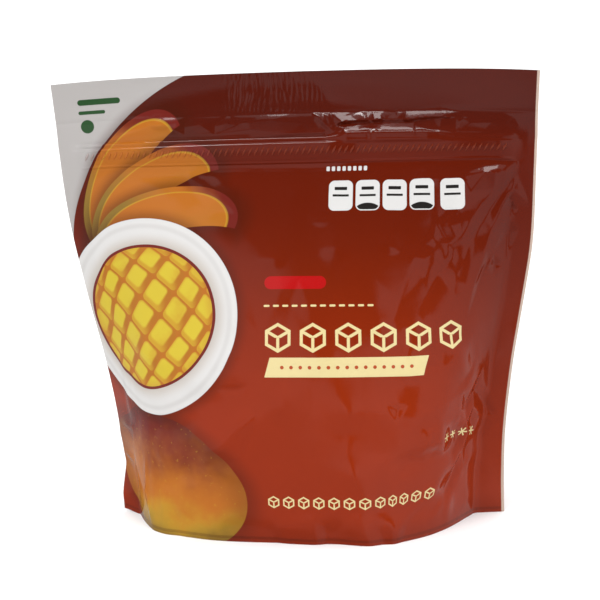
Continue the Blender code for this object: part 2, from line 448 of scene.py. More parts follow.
ZIP_GAP, FILM_GAP = 1.6, 0.5


def keep_sealed(points, sealed, zipped):
    """The two sheets meet in the seals, stay a little apart in the zip, and never cross."""
    need = np.where(sealed, 0.0, np.where(zipped, ZIP_GAP, FILM_GAP)).astype(np.float32)
    short = np.clip(need - (points[BACK, ..., 1] - points[FRONT, ..., 1]), 0, None) / 2
    points[FRONT, ..., 1] -= short
    points[BACK, ..., 1] += short
    middle = points.mean(0)
    points[:, sealed] = middle[sealed]
    apart = np.array([0, ZIP_GAP / 2, 0], np.float32)
    points[FRONT, zipped] = middle[zipped] - apart
    points[BACK, zipped] = middle[zipped] + apart


def coasting(points, before):
    """Each point's last step, damped and evened out with its neighbours'."""
    velocity = (points - before) * DAMPING
    near = velocity[:, 2:, 1:-1] + velocity[:, :-2, 1:-1]
    near = near + velocity[:, 1:-1, 2:] + velocity[:, 1:-1, :-2]
    velocity[:, 1:-1, 1:-1] = 0.5 * velocity[:, 1:-1, 1:-1] + 0.125 * near
    return velocity


def simulate(points, goal, u_line, v_line, spacing, steps, depth, fills, pressure):
    """Lets the film settle round its filling."""
    points, goal = points.astype(np.float32), goal.astype(np.float32)
    u, v = np.meshgrid(u_line, v_line)
    pairs = film_pairs(goal, u, v, spacing)
    weights = anchor_weights(u, v)
    sealed = (np.abs(u) > INNER - NEAR) | (v > SEAL_V - NEAR)
    zipped = in_zip(v) & ~sealed
    body = (~sealed & (v < RIDGE_V)).astype(np.float32)
    sign = SIDES.astype(np.float32)[:, None, None]
    before = points.copy()
    for step in range(steps):
        velocity = coasting(points, before)
        before[...] = points
        points += velocity
        push_out(points, pressure * min(1.0, step / (FILL_TIME * steps)), body)
        for first, second, rest, give in pairs:
            pull(points, first, second, rest, give)
        points += weights * (goal - points)
        if step % CONTACT_EVERY == 0:
            x, z = points[..., 0], points[..., 2]
            lean = flap_lean(x, z).astype(np.float32)
            sheets = zip(fills, x, z)
            inner = np.stack([between(fill, wide + MAP_HALF, up) for fill, wide, up in sheets])
            outer = between(depth, x + MAP_HALF, z) + OUTER_ROOM
        off = sign * (points[..., 1] - lean)
        lift = np.clip(inner - off, 0, None) * body + np.clip(outer - off, None, 0) * ~sealed
        points[..., 1] += (0.5 * sign * lift).astype(np.float32)
        keep_sealed(points, sealed, zipped)
        points[..., 2] = np.maximum(points[..., 2], 0)
    return points


def doubled(points):
    """The grid at twice the resolution, by a smooth curve through its points."""
    for axis in (1, 2):
        points = np.moveaxis(points, axis, 0)
        padded = np.concatenate([2 * points[:1] - points[1:2], points, 2 * points[-1:] - points[-2:-1]])
        out = np.zeros((2 * len(points) - 1,) + points.shape[1:], points.dtype)
        out[::2] = points
        out[1::2] = (-padded[:-3] + 9 * padded[1:-2] + 9 * padded[2:-1] - padded[3:]) / 16
        points = np.moveaxis(out, 0, axis)
    return points


def settle():
    """The film's shape after both rounds of simulation, on its fine grid."""
    u, v, goal = formula_shape(COARSE)
    depth = depth_map()
    fills = [filling(depth, seed) for seed in CHUNK_SEEDS]
    wide, tall = np.meshgrid(u, v)
    rng = np.random.default_rng(FILM_SEED)
    start = goal.copy()
    free = np.where(np.abs(wide) < INNER, 1, 0.3) * np.where(tall < 6, 0, 1)
    free = free * np.where(tall > RIDGE_V, 0.2, 1)
    start[..., 1] += uneven(rng, wide, tall, UNEVEN_SIZE, UNEVENNESS) * free
    steps = COARSE_STEPS
    points = simulate(start, goal, u, v, COARSE, steps, depth, fills, PRESSURE)
    u, v, goal = formula_shape(FINE)
    points = doubled(points)
    points = simulate(points, goal, u, v, FINE, FINE_STEPS, depth, fills, PRESSURE / 4)
    points = square_foot(calmed(points.astype(float), goal, u, v), u)
    return u, v, slanted_corner(points, u, v)


# ---------------------------------------------------------------- finer mesh, with relief

# The pouch is one closed mesh up to just under the zip, and a finer one above it
JOIN_V = 170.4
COLUMNS = ((-HALF, 56.0, 1.0), (56.0, 95.0, 0.6), (95.0, HALF, 1.0))
BODY_FINER, TOP_FINER = 1, 2
BODY_ROWS = ((0, JOIN_V, 1.05),)
TOP_ROWS = ((JOIN_V, 193.4, 0.4), (193.4, FILM_HEIGHT, 0.85))


def row_places(stretches):
    """Film places of a mesh's rows or columns, from stretches of (low, high, step)."""
    rows = []
    for low, high, step in stretches:
        rows.append(np.linspace(low, high, round((high - low) / step) + 1)[:-1])
    return np.concatenate([*rows, [stretches[-1][1]]])


def column_places(finer):
    return row_places([(low, high, step / finer) for low, high, step in COLUMNS])


def spline_weights(places, line):
    """Matrix that takes values on an even line to those places, by a cubic B-spline."""
    spacing = line[1] - line[0]
    at = (places - line[0]) / spacing
    first = np.clip(np.floor(at).astype(int), 0, len(line) - 2)
    t = at - first
    parts = ((1 - t) ** 3, 3 * t**3 - 6 * t**2 + 4, -3 * t**3 + 3 * t**2 + 3 * t + 1, t**3)
    weights = np.zeros((len(places), len(line)))
    rows = np.arange(len(places))
    last = len(line) - 1
    for shift, part in zip((-1, 0, 1, 2), parts):
        column = first + shift
        inside = (column >= 0) & (column <= last)
        np.add.at(weights, (rows[inside], column[inside]), part[inside] / 6)
        for edge, inner, out in ((0, 1, column < 0), (last, last - 1, column > last)):
            np.add.at(weights, (rows[out], np.full(out.sum(), edge)), 2 * part[out] / 6)
            np.add.at(weights, (rows[out], np.full(out.sum(), inner)), -part[out] / 6)
    return weights


def outward(points, columns, rows):
    """Unit normals of both sheets, away from the filling."""
    normal = np.cross(np.gradient(points, columns, axis=2), np.gradient(points, rows, axis=1))
    normal /= np.linalg.norm(normal, axis=-1, keepdims=True) + 1e-12
    return normal * -SIDES[:, None, None, None]


def to_line(u, v, points):
    """Distance to a run of straight lines, and how far along it the nearest place is, from 0 to 1."""
    points = np.array(points, float)
    lengths = np.linalg.norm(np.diff(points, axis=0), axis=1)
    nearest, along = np.full(u.shape, 1e9), np.zeros(u.shape)
    run = 0.0
    for start, end, length in zip(points[:-1], points[1:], lengths):
        way = (end - start) / length
        share = np.clip((u - start[0]) * way[0] + (v - start[1]) * way[1], 0, length)
        distance = np.hypot(u - start[0] - share * way[0], v - start[1] - share * way[1])
        closer = distance < nearest
        nearest = np.where(closer, distance, nearest)
        along = np.where(closer, (run + share) / lengths.sum(), along)
        run += length
    return nearest, along


def fold(u, v, points, width, height):
    """A sharp-crested ridge, or a valley if height is below 0, that fades towards both its ends."""
    distance, along = to_line(u, v, points)
    return height * np.exp(-distance / width) * np.sin(np.pi * np.clip(along, 0.02, 0.98)) ** 0.6


def blister(u, v, centre, size, height):
    """A soft, lens-shaped swelling."""
    far = ((u - centre[0]) / size[0]) ** 2 + ((v - centre[1]) / size[1]) ** 2
    return height * np.clip(1 - far, 0, None) ** 1.5


RIBS = (RIB_V - 0.4, RIB_V - 2.5)
RIB_HALF_WIDTH = 0.8
RIB_HEIGHT = 0.3
# The strip's upper ledge rises in two equal steps, one over each rib: upper ends, and width
LEDGE_TOPS = (RIB_V + 0.2, RIB_V - 1.8)
LEDGE_STEP_WIDTH = 0.9
RIDGE_HEIGHT = 0.3
RIDGE_HALF_WIDTH = 1.0
STRIP_HEIGHT = 2.7
# Towards the right the ribs and the strip stand out less: by what share, from where and over how much
RIB_FALL, RIB_FALL_ACROSS = 0.7, (16, 10)
STRIP_FALL, STRIP_FALL_ACROSS = 0.45, (14, 16)
# The strip rises from below the bead
STRIP_RISE = (-6, 13)
ZIP_EDGE_V = 182.4
ZIP_END, ZIP_END_FADE = 99.0, 3
STRIP_END, STRIP_END_FADE = ZIP_END + 5, 14

# Folds of the front film: (places along the fold), width, height
FRONT_FOLDS = (
    (((-79, 34), (-78, 18), (-75, 3)), 1.8, 1.4),
    (((-104, 46), (-92, 47)), 1.2, 0.8),
    (((-107, 29), (-99, 29)), 1.2, 0.9),
    (((-65, 9), (-50, 7), (-38, 9)), 2.0, 0.4),
)

# Soft swellings: centre, half size, height. They catch the light on their lower halves.
FRONT_BLISTERS = (
    ((-60, 190), (7, 4), 0.9),
    ((4, 158), (7, 5), 0.45),
    ((18, 156), (5, 6), 0.4),
    ((13, 145), (6, 4), 0.4),
    ((20, 133), (8, 7), 0.55),
    ((44, 134), (7, 5), 0.45),
    ((57, 95), (9, 8), 0.5),
    ((61, 126), (6, 9), 0.45),
    ((62, 164), (9, 4), 0.4),
    ((-8, 128), (7, 5), 0.35),
)

# Film between the seal and the zip: edges of its flat facets, as runs of (u, v, height)
SEAL_EDGE = (
    (-86, 192.4, 0), (-66, 192.4, 0), (-48, 192.4, 0), (-30, 192.4, 0), (-14, 192.4, 0),
    (0, 192.4, 0), (7.5, 192.4, 0), (12, 192.3, 0), (16, 192.3, 0), (20.5, 192.4, 0),
    (26, 192.4, 0), (29.5, 192.5, 0), (32.2, 192.5, 0), (34.8, 192.6, 0), (37, 192.5, 0),
    (41, 192.6, 0), (46, 192.6, 0), (50, 192.6, 0), (52.2, 192.5, 0), (56, 192.6, 0),
    (60, 192.9, 0), (64.5, 193.2, 0), (68, 192.7, 0), (73.5, 191.8, 0), (82, 191.5, 0),
    (92, 191.2, 0), (98, 189.5, 0), (104, 187, 0),
)
ZIP_EDGE = (
    (-86, 182.4, 0), (-50, 182.4, 0), (-20, 182.4, 0), (0, 182.4, 0), (8, 182.4, 0),
    (14, 182.4, 0.1), (17, 182.6, 0.9), (20.5, 182.5, 1.9), (24, 182.4, 3.0), (27, 182.4, 3.0),
    (33, 182.4, 3.0), (35, 182.4, 2.4), (37, 182.4, 3.0), (40, 182.4, 3.1), (47, 182.4, 3.0),
    (53.8, 182.4, 3.1), (55, 182.4, 3.0), (60, 182.4, 2.9), (65.2, 182.4, 2.2), (72, 182.4, 1.1),
    (84, 182.4, 0.8), (99, 182.4, 0.2), (104, 182.4, 0),
)
CRUMPLE = (
    SEAL_EDGE,
    ZIP_EDGE,
    # Long soft lens on the left
    ((-78, 187, 0.1), (-66, 188.6, 1.3), (-58, 188.4, 1.5), (-50, 187.4, 0.5), (-42, 188.2, 1.0),
     (-36, 187.6, 0.5)),
    ((-36, 187.6, 0.5), (-30, 188.6, 1.1), (-25, 188, 0.7), (-20.8, 188.7, 0.9), (-9.5, 189.5, 1.0),
     (4, 187.8, 1.0), (11.3, 185.2, 0.9)),
    ((-50, 184.4, 0.5), (-36, 184.2, 0.5), (-20, 185.6, 0.8), (-1.9, 183.3, 0.9), (6, 183.4, 0.8),
     (13, 183.4, 0.8)),
    # Two thin ridges
    ((7.5, 192.4, 0), (11, 190.3, 1.6), (13.5, 187.7, 2.1), (16, 185.5, 1.6), (17, 182.6, 0.9)),
    ((9, 188.8, 0.8), (12.2, 186.8, 1.0), (14.4, 184.8, 0.9)),
    ((12, 192.3, 0), (15.2, 190.2, 1.6), (16.4, 186.6, 1.7)),
    ((13.6, 190.4, 0.8), (14.9, 187.8, 1.2)),
    ((17.4, 189.4, 0.7), (18.6, 186.2, 1.0), (19, 184, 1.3)),
    # Broad ridge that runs down to the white facet
    ((16, 192.3, 0), (18.4, 190.3, 1.1), (21.2, 187.7, 2.3), (25, 188.1, 2.1), (28.8, 188.3, 2.1)),
    ((20.5, 192.4, 0), (22.6, 190.2, 0.9), (25, 188.1, 2.1)),
    ((25.6, 190.6, 0.5), (28.8, 188.3, 2.1)),
    ((21.1, 187.0, 0.3), (25.2, 187.2, 0.3), (29.4, 187.3, 0.5)),
    ((21.1, 187.0, 0.3), (22.2, 185.2, 1.4), (24, 182.4, 3.0)),
    ((20, 185.6, 1.3), (20.5, 182.5, 1.9)),
    ((25.2, 187.2, 0.3), (26, 185, 1.7), (27, 182.4, 3.0)),
    # Wings on either side of a short upright crease
    ((28.8, 188.3, 2.1), (32.2, 188.4, 2.8), (33.6, 188.3, 2.2), (34.8, 188.1, 1.5), (36, 188.2, 2.6),
     (39.3, 188.6, 2.5), (41.2, 188.4, 1.4)),
    ((32.2, 192.5, 0), (33.6, 188.3, 2.2)),
    ((34.8, 192.6, 0), (34.8, 188.1, 1.5), (34.8, 187.1, 1.0), (34.9, 184.6, 1.5), (35, 182.4, 2.4)),
    ((41, 192.6, 0), (38.8, 190.9, 0.9), (39.3, 188.6, 2.5)),
    ((29.4, 187.3, 0.5), (32, 187.3, 0.5), (34.8, 187.1, 1.0), (35.8, 187.3, 0.5), (39.8, 187.3, 0.5)),
    ((30.6, 186.3, 1.1), (34.4, 186.4, 1.1), (34.9, 184.6, 1.5)),
    ((30.6, 186.3, 1.1), (31.6, 185.1, 1.5), (34.9, 184.6, 1.5)),
    ((35.8, 186.4, 1.1), (38.4, 186.4, 1.1), (37.2, 184.8, 1.6), (35.8, 186.4, 1.1)),
    ((39.8, 187.3, 0.5), (40, 182.4, 3.1)),
    # Flat band, and the broken film above it
    ((41.2, 188.4, 1.4), (44.4, 188.3, 1.5), (46.6, 188.6, 1.6), (48.6, 188.2, 1.2), (50, 188.3, 2.1),
     (54, 188.6, 2.1)),
    ((44.4, 188.3, 1.5), (45.2, 191.2, 0.2), (46.6, 188.6, 1.6)),
    ((39.8, 187.3, 0.5), (47, 187.1, 0.6), (50, 187.4, 0.5), (54, 187.6, 0.5), (55, 188.1, 0.5),
     (57.2, 188.2, 0.5)),
    # White triangle, and two small upright folds
    ((50, 188.3, 2.1), (52.2, 192.5, 0), (54, 188.6, 2.1)),
    ((53.6, 187.4, 0.8), (53.8, 182.4, 3.1)),
    ((54.3, 186, 0.9), (54.4, 183.6, 2.1)),
    # Ridge over the dark facet
    ((54, 188.6, 2.1), (57.4, 189, 1.9), (62, 189.3, 2.0), (66.4, 189.3, 2.0), (67.4, 190.7, 1.3),
     (70, 190.7, 0.9), (73.5, 191.1, 0.3)),
    ((57.2, 188.2, 0.5), (62, 188.7, 0.8), (66, 188.9, 1.1), (72.4, 188.6, 0.7), (74, 187.2, 0.9)),
    ((57.2, 188.2, 0.5), (58.2, 184.4, 1.6), (60.4, 183.6, 1.9), (65.2, 183.4, 1.7), (66, 188.9, 1.1)),
    ((72.4, 188.6, 0.7), (72, 182.4, 1.1)),
    # Dark hollow over the flat lens on the right
    ((74, 187.2, 0.9), (76, 188.5, 1.1), (78.8, 189.2, 0.6)),
    ((75.4, 189.6, 0.4), (78.8, 189.2, 0.6), (86, 189.2, 0.5), (91, 189, 0.3)),
    ((74, 187.2, 0.9), (79, 187.1, 1.1), (88, 187.2, 0.9), (95, 187, 0.4), (100, 185.4, 0.1)),
    ((73.4, 183, 1.3), (84, 182.9, 1.0), (96, 182.9, 0.3)),
)
# The back has the same creases, mirrored and weaker. Stretch, shift and share of the height, for the
# front and the back
CRUMPLE_TURNS = ((1.0, 0.0, 1.0), (-0.9, 12.0, 0.7))
CREASE_TURNS = ((1.0, 0.0, 1.3), (-1.0, 0.0, 0.8))

# Creases of the body below the zip, each patch with a rim of height 0
FAN_CREASES = (
    ((44, 169, 0), (62, 170.4, 0), (80, 171, 0), (103, 171.4, 0), (106, 150, 0), (106, 120, 0),
     (103, 92, 0)),
    ((103, 92, 0), (84, 90, 0), (60, 92, 0), (44, 100, 0), (40, 134, 0), (44, 169, 0)),
    # Bright wedge under the zip's end
    ((76, 164.4, 0.2), (85, 167.8, 0.4), (92, 169.4, 0.3), (100, 170.6, 0)),
    ((77, 161.8, 0.6), (85.4, 165.2, 2.4), (90, 165.6, 2.9), (94.4, 166.6, 2.2), (100, 170.6, 0)),
    ((77, 161.8, 0.6), (79, 156, 0.5), (84, 151, 0.9)),
    # Folds that fan out from it
    ((94.4, 166.6, 2.2), (89.5, 158, 1.3), (84, 151, 0.9), (78.5, 143, 1.1), (73.5, 136, 0.6),
     (71, 131, 0)),
    ((99, 165, 0.2), (93.5, 157, 0.1), (88, 148.5, 0.1), (83, 141, 0.2), (78.6, 134, 0.1),
     (76, 126, 0)),
    ((98, 158, 0.9), (92, 148, 1.2), (88, 139, 1.2), (85.6, 130, 1.1), (83, 121, 1.0), (80, 112, 0.9),
     (79, 100, 0)),
    ((88, 126, 0), (85, 119, 0), (82.6, 110, 0.1), (82, 100, 0)),
    # Dents near the side seal
    ((96.6, 155, 0.3), (98.6, 150.4, -0.8), (96.6, 146, 0.3), (100, 148, 0.2), (96.6, 155, 0.3)),
    ((92.4, 136.6, 0.3), (96.4, 138.2, -0.8), (101, 139.8, 0.2)),
    ((90, 129.4, 0.5), (96, 123.6, 0.3), (91, 118.4, 0.3), (87.6, 121.4, 0.4), (90, 129.4, 0.5)),
    ((92, 124, -0.7), (91.6, 121.6, -0.4)),
    # Soft patches and long creases towards the middle
    ((57, 168, 0), (58, 163, 0.5), (54.6, 165.4, 0.1)),
    ((70, 148, 0), (69, 142, 0.7), (68.4, 135.6, 0.2)),
    ((63.6, 143.4, 0), (61.6, 136, 0.6), (64.6, 131, 0.4), (68.4, 134, 0.7)),
    ((73.4, 146, 0.1), (74, 142.6, 0.5)),
    ((69, 129, 0.3), (64, 121, -0.3), (60, 112, -0.5), (56, 104, -0.4), (50, 98, 0)),
    ((70.6, 127, -0.3), (72.4, 119, -0.4), (71.4, 112, 0.1)),
    ((57, 134, 0), (54, 128, 0.5), (58.6, 126.6, 0.3), (57, 134, 0)),
)
EDGE_CREASES = (
    ((38, 70, 0), (60, 86, 0), (86, 88, 0), (104, 84, 0), (105, 50, 0), (104, 20, 0), (84, 12, 0),
     (60, 14, 0), (44, 26, 0), (38, 50, 0), (38, 70, 0)),
    # Broken upright crease beside the side seal
    ((86.6, 80, 0.1), (83, 72, 0.9), (84.6, 66, 1.0), (83, 58, -0.6), (84.4, 50, 0.8),
     (82.6, 43, -0.6), (84.6, 36, 0.7), (82, 29, -0.3), (84.6, 22, 0.1)),
    ((92, 76, 0.3), (88.6, 64, -0.9), (87, 57, 0.9), (88.6, 50, -0.7), (86.6, 44, 0.8),
     (89, 36, -0.6), (87.6, 28, 0.4)),
    ((91, 70.6, 0.2), (96, 66.6, 0.5), (92.6, 61.6, -0.9), (95, 52, 0.4), (93, 42, -0.5),
     (96, 33, 0.4), (93, 24, 0)),
    ((80, 72, 0.3), (78.6, 66.4, 0.9), (79.6, 57, 0.2), (78.4, 48, 0.8), (79.6, 38, 0.1),
     (78, 30, 0.6), (79, 20, 0)),
    # Flat facets towards the middle
    ((51.4, 56, 0.1), (61, 59.6, 0.6), (69, 63.6, 0.7), (78.6, 66.4, 0.9)),
    ((57.6, 52.4, 0.1), (69.6, 53.6, 0.3), (76, 52, 0.6)),
    ((62, 51.4, 0.4), (60, 45.6, 0.6), (58, 41, 0.5), (51.6, 37.4, 0)),
    ((60, 45.6, 0.6), (65, 42, -0.3), (69, 38, 0.3), (62, 35.6, 0.4), (58, 41, 0.5)),
    ((40.4, 65, 0), (51, 63.6, 0.1), (45.4, 56.4, 0), (40.4, 65, 0)),
    ((45.8, 62, -0.6), (46, 60.6, -0.6)),
)
LEFT_CREASES = (
    ((-64, 74, 0), (-40, 80, 0), (-12, 78, 0), (-14, 62, 0), (-22, 40, 0), (-40, 24, 0), (-62, 26, 0),
     (-68, 48, 0), (-64, 74, 0)),
    ((-36.4, 68, 0.1), (-38, 57, 0.5), (-31, 44.6, 1.3), (-43.6, 41.6, 0.7), (-57, 47.6, 0)),
    ((-31, 44.6, 1.3), (-41.6, 35.6, 0.1)),
    ((-33.6, 72, 0), (-26, 74, 0), (-18.4, 73, 0), (-22, 68.4, 0), (-28, 67.6, 0), (-33.6, 72, 0)),
    ((-29, 71, -0.7), (-24, 71, -0.7)),
)
UNDER_ZIP_CREASES = (
    ((-64, 169.6, 0), (-46, 170.6, 0), (-14, 170.6, 0), (-12, 156, 0), (-22, 142, 0), (-40, 140, 0),
     (-62, 152, 0), (-64, 169.6, 0)),
    ((-52, 169.6, 0.1), (-42, 163, 1.1), (-33, 156, 1.2), (-24.6, 148, 0.1)),
    ((-40, 169, 0.1), (-33, 163.4, 0.2), (-25, 158.6, 0.1)),
    ((-46, 158, 0.2), (-38, 151, 0.3)),
)
CREASES = (FAN_CREASES, EDGE_CREASES, LEFT_CREASES, UNDER_ZIP_CREASES)

BACK_FOLDS = (
    (((-98, 168), (-84, 152), (-76, 128)), 2.6, 1.0),
    (((97, 167), (88, 150), (80, 132)), 2.2, -0.8),
    (((60, 66), (44, 58), (30, 62)), 2.6, 0.7),
    (((-86, 52), (-83, 34), (-80, 12)), 2.0, -1.0),
)

FACET_SEED, FACET_SPACING, FACET_AMOUNT, FACET_SHIFT = 4, 13.0, 0.3, 0.4
# Where the facets fade, below the zip, above the foot and beside the side seals: place, over how much
FACETS_TOP, FACETS_LOW, FACETS_SIDES = (RIDGE_V - 2, 8), (6, 14), (INNER, 12)
CRINKLE_SEED = 21
# Crinkled patches: low and high corner, how many points, slope
BACK_CRINKLES = (
    ((-98, 20), (-76, 90), 26, 0.20),
    ((74, 30), (98, 110), 26, 0.20),
)


def zip_edge_height(side, u):
    """How far the film stands off at the zip's upper edge."""
    run = np.array(ZIP_EDGE, float).T
    stretch, shift, share = CRUMPLE_TURNS[side]
    return share * np.interp((u - shift) / stretch, run[0], run[2])


def zip_relief(side, u, v):
    """The zip strip pushes the film out. Its upper ledge carries two ribs, and a bead runs below it."""
    ends = fall(np.abs(u), ZIP_END, ZIP_END_FADE)
    rib_ends = ends * (1 - RIB_FALL * rise(u, *RIB_FALL_ACROSS))
    ribs = np.maximum(*(smooth(1 - np.abs(v - place) / RIB_HALF_WIDTH) for place in RIBS))
    lower = smooth(1 - np.abs(v - RIDGE_V) / RIDGE_HALF_WIDTH)
    ledge = sum(np.clip((top - v) / LEDGE_STEP_WIDTH, 0, 1) for top in LEDGE_TOPS) / len(LEDGE_TOPS)
    strip = fall(np.abs(u), STRIP_END, STRIP_END_FADE) * STRIP_HEIGHT
    strip = strip * (1 - STRIP_FALL * rise(u, *STRIP_FALL_ACROSS))
    edge = zip_edge_height(side, u)
    strip = (edge * (1 - ledge) * (v < ZIP_EDGE_V) + strip * ledge) * rise(v - RIDGE_V, *STRIP_RISE)
    return strip + rib_ends * RIB_HEIGHT * ribs + ends * RIDGE_HEIGHT * lower


# Step of the top seal: depth, width. Crease of the foot's seal: height, film height, width
SEAL_STEP = (0.25, 0.8)
FOOT_CREASE = (0.3, 3.5, 0.9)
FOOT_CREASE_END, FOOT_CREASE_FADE = 60, 30


def seal_relief(u, v):
    """The pressed step along the inner edges of the seals, and the foot seal's crease."""
    depth, width = SEAL_STEP
    step = depth * np.exp(-np.abs(v - SEAL_V) / width)
    height, place, width = FOOT_CREASE
    foot = height * np.exp(-np.abs(v - place) / width)
    return foot * fall(np.abs(u), FOOT_CREASE_END, FOOT_CREASE_FADE) - step


def over_triangles(u, v, corners, edges):
    """Height over flat triangles between corners (u, v, height), with these pairs of corners joined."""
    flat = [Vector(corner[:2]) for corner in corners]
    made, _, triangles, origins, _, _ = delaunay_2d_cdt(flat, edges, [], 0, 0.001)
    heights = [corners[origin[0]][2] if origin else None for origin in origins]
    height = np.zeros(u.shape)
    columns, rows = u[0], v[:, 0]
    for triangle in triangles:
        if any(heights[index] is None for index in triangle):
            raise ValueError("two facet edges cross")
        (x1, y1), (x2, y2), (x3, y3) = (made[index] for index in triangle)
        left, right = np.searchsorted(columns, (min(x1, x2, x3) - 0.01, max(x1, x2, x3) + 0.01))
        low, high = np.searchsorted(rows, (min(y1, y2, y3) - 0.01, max(y1, y2, y3) + 0.01))
        if left == right or low == high:
            continue
        x, y = u[low:high, left:right], v[low:high, left:right]
        area = (y2 - y3) * (x1 - x3) + (x3 - x2) * (y1 - y3)
        first = ((y2 - y3) * (x - x3) + (x3 - x2) * (y - y3)) / area
        second = ((y3 - y1) * (x - x3) + (x1 - x3) * (y - y3)) / area
        third = 1 - first - second
        inside = (first >= -1e-6) & (second >= -1e-6) & (third >= -1e-6)
        value = sum(share * heights[index] for share, index in zip((first, second, third), triangle))
        height[low:high, left:right] = np.where(inside, value, height[low:high, left:right])
    return height


def creased(u, v, runs, turn):
    """Flat facets between these runs of (u, v, height), stretched, shifted and lowered as turn says."""
    corners, edges, known = [], [], {}
    for run in runs:
        ids = []
        for place in run:
            if place[:2] not in known:
                known[place[:2]] = len(corners)
                corners.append(place)
            ids.append(known[place[:2]])
        edges += list(zip(ids[:-1], ids[1:]))
    stretch, shift, share = turn
    corners = [(across * stretch + shift, up, height * share) for across, up, height in corners]
    return over_triangles(u, v, corners, edges)


def faceted(u, v, spacing, amount, rng):
    """Broad flat facets over the whole film, where it lies over its filling."""
    corners = []
    for across in np.arange(-HALF - spacing, HALF + spacing, spacing):
        for up in np.arange(-spacing, RIDGE_V + 2 * spacing, spacing):
            shift = rng.uniform(-FACET_SHIFT, FACET_SHIFT, 2) * spacing
            height = rng.uniform(-amount, amount)
            corners.append((float(across + shift[0]), float(up + shift[1]), float(height)))
    fade = fall(v, *FACETS_TOP) * rise(v, *FACETS_LOW) * fall(np.abs(u), *FACETS_SIDES)
    return over_triangles(u, v, corners, []) * fade


def crinkle(u, v, low, high, count, slope, rng):
    """A patch of sharp ridges between shallow cones, which fades at its edges."""
    height = np.full(u.shape, 1e9)
    for _ in range(count):
        centre = rng.uniform(low, high)
        cone = slope * np.hypot(u - centre[0], (v - centre[1]) * 0.7)
        height = np.minimum(height, rng.uniform(0, 0.5) + cone)
    fade = 0.25 * min(high[0] - low[0], high[1] - low[1])
    edge = smooth((u - low[0]) / fade) * smooth((high[0] - u) / fade)
    edge = edge * smooth((v - low[1]) / fade) * smooth((high[1] - v) / fade)
    return np.clip(height, 0, 2) * edge


HEADER_CREASE, HEADER_CREASE_DEPTH = ((4.0, 212.0), (19.0, 192.0)), 0.55
HEADER_CREASE_UP = (189, 9)
STREAKS, STREAK_HEIGHT = 16, 0.016
# Middle of the streaks, half width of their patch, and over how much they fade
STREAK_PATCH = (-9, 26, 12)
STREAK_LENGTHS, STREAK_DRIFT = (1.3, 2.8), 0.16


def header_relief(u, v, rng):
    """Upright crinkles in the middle of the sealed header, a slanted crease, and slow waves."""
    up = rise(v - SEAL_V, 0.5, 2)
    # The crinkles wander slowly all the way up, and more quickly low down
    bent = u + 0.9 * np.sin(v / 6.5 + u / 8) + 0.5 * np.sin(v / 2.7 - u / 4) * fall(v, 203, 8)
    streaks = np.zeros(u.shape)
    for _ in range(STREAKS):
        wavelength, drift = rng.uniform(*STREAK_LENGTHS), rng.uniform(-STREAK_DRIFT, STREAK_DRIFT)
        wave = np.sin(2 * np.pi * (bent + drift * (v - 200)) / wavelength + rng.uniform(0, 2 * np.pi))
        broken = np.clip(np.sin(v / rng.uniform(2, 5) + u / rng.uniform(3, 6)), -0.1, 1)
        streaks += wavelength * wave * broken
    middle, half, fade = STREAK_PATCH
    streaks *= STREAK_HEIGHT * fall(np.abs(u - middle), half, fade)
    (top_u, top_v), (low_u, low_v) = HEADER_CREASE
    past = u - low_u - (v - low_v) * (top_u - low_u) / (top_v - low_v)
    # Steep on the right, slow on the left
    flank = np.where(past > 0, np.exp(-past / 11), np.exp(past / 60) * rise(u, -60, 60))
    crease = HEADER_CREASE_DEPTH * flank * rise(v, *HEADER_CREASE_UP)
    return up * (streaks + 0.1 * np.sin(u / 15 + v / 9)) - crease


def relief(side, u, v):
    """How far the film stands off its simulated shape."""
    rng = np.random.default_rng(CRINKLE_SEED + side)
    folds = FRONT_FOLDS if side == FRONT else BACK_FOLDS
    height = zip_relief(side, u, v) + seal_relief(u, v) + header_relief(u, v, rng)
    height += sum(fold(u, v, *item) for item in folds)
    height += creased(u, v, CRUMPLE, CRUMPLE_TURNS[side]) * (v > ZIP_EDGE_V)
    height += sum(creased(u, v, runs, CREASE_TURNS[side]) for runs in CREASES)
    if side == BACK:
        height += sum(crinkle(u, v, *item, rng) for item in BACK_CRINKLES)
    facet_rng = np.random.default_rng(FACET_SEED + side)
    height += faceted(u, v, FACET_SPACING, FACET_AMOUNT, facet_rng)
    if side == FRONT:
        height += sum(blister(u, v, *item) for item in FRONT_BLISTERS)
    return height


# How far the film is drawn back beside the side seals, and where: start and over how much, across
CALM, CALM_SIDES = 0.85, (66, 22)
# The calm left foot corner: from how far out, and up to how high, each with its soft edge
CALM_CORNER, CALM_CORNER_TOP = (60, 14), (80, 30)
CALM_TOP = (RIB_V - 1, 3)
# How far the left side seal and the film beside it stand forward at the foot
EDGE_FORWARD = ((-108, 0), (-98, 8.5), (-73, 7.4), (-64, 4.6), (-56, 1.2), (-48, 0))
BACK_FORWARD = ((-108, 0), (-98, 8.5), (-78, 0))
EDGE_TOP = 100.0
# How far they stand forward in the middle of the seal's height, so that the seal runs on from the front
FRONT_TURN = ((-108, -5), (-98, 3.5), (-84, 1.5), (-66, 0))
BACK_TURN = ((-108, -5), (-98, 3.5), (-84, 0.5), (-78, 0))
# Where that turn sets in up the seal and where it ends: place, over how much
TURN_GROWS, TURN_FADES = (0, 40), (168, 50)
# A bend in the left seal's outer edge: film height, reach, depth. It fades inwards from the edge.
EDGE_DENT = (23.0, 15.0, 2.4)
EDGE_DENT_ACROSS = (94, 12)


def calmed(points, goal, u, v):
    """Draws the film back towards the formula beside the side seals, and wholly above the zip."""
    beside = CALM * rise(np.abs(u), *CALM_SIDES)[None, :]
    corner = rise(-u, *CALM_CORNER)[None, :] * fall(v, *CALM_CORNER_TOP)[:, None]
    above = rise(v, *CALM_TOP)[:, None]
    share = np.maximum(np.maximum(beside, corner), above)
    return points + share[None, :, :, None] * (goal - points)


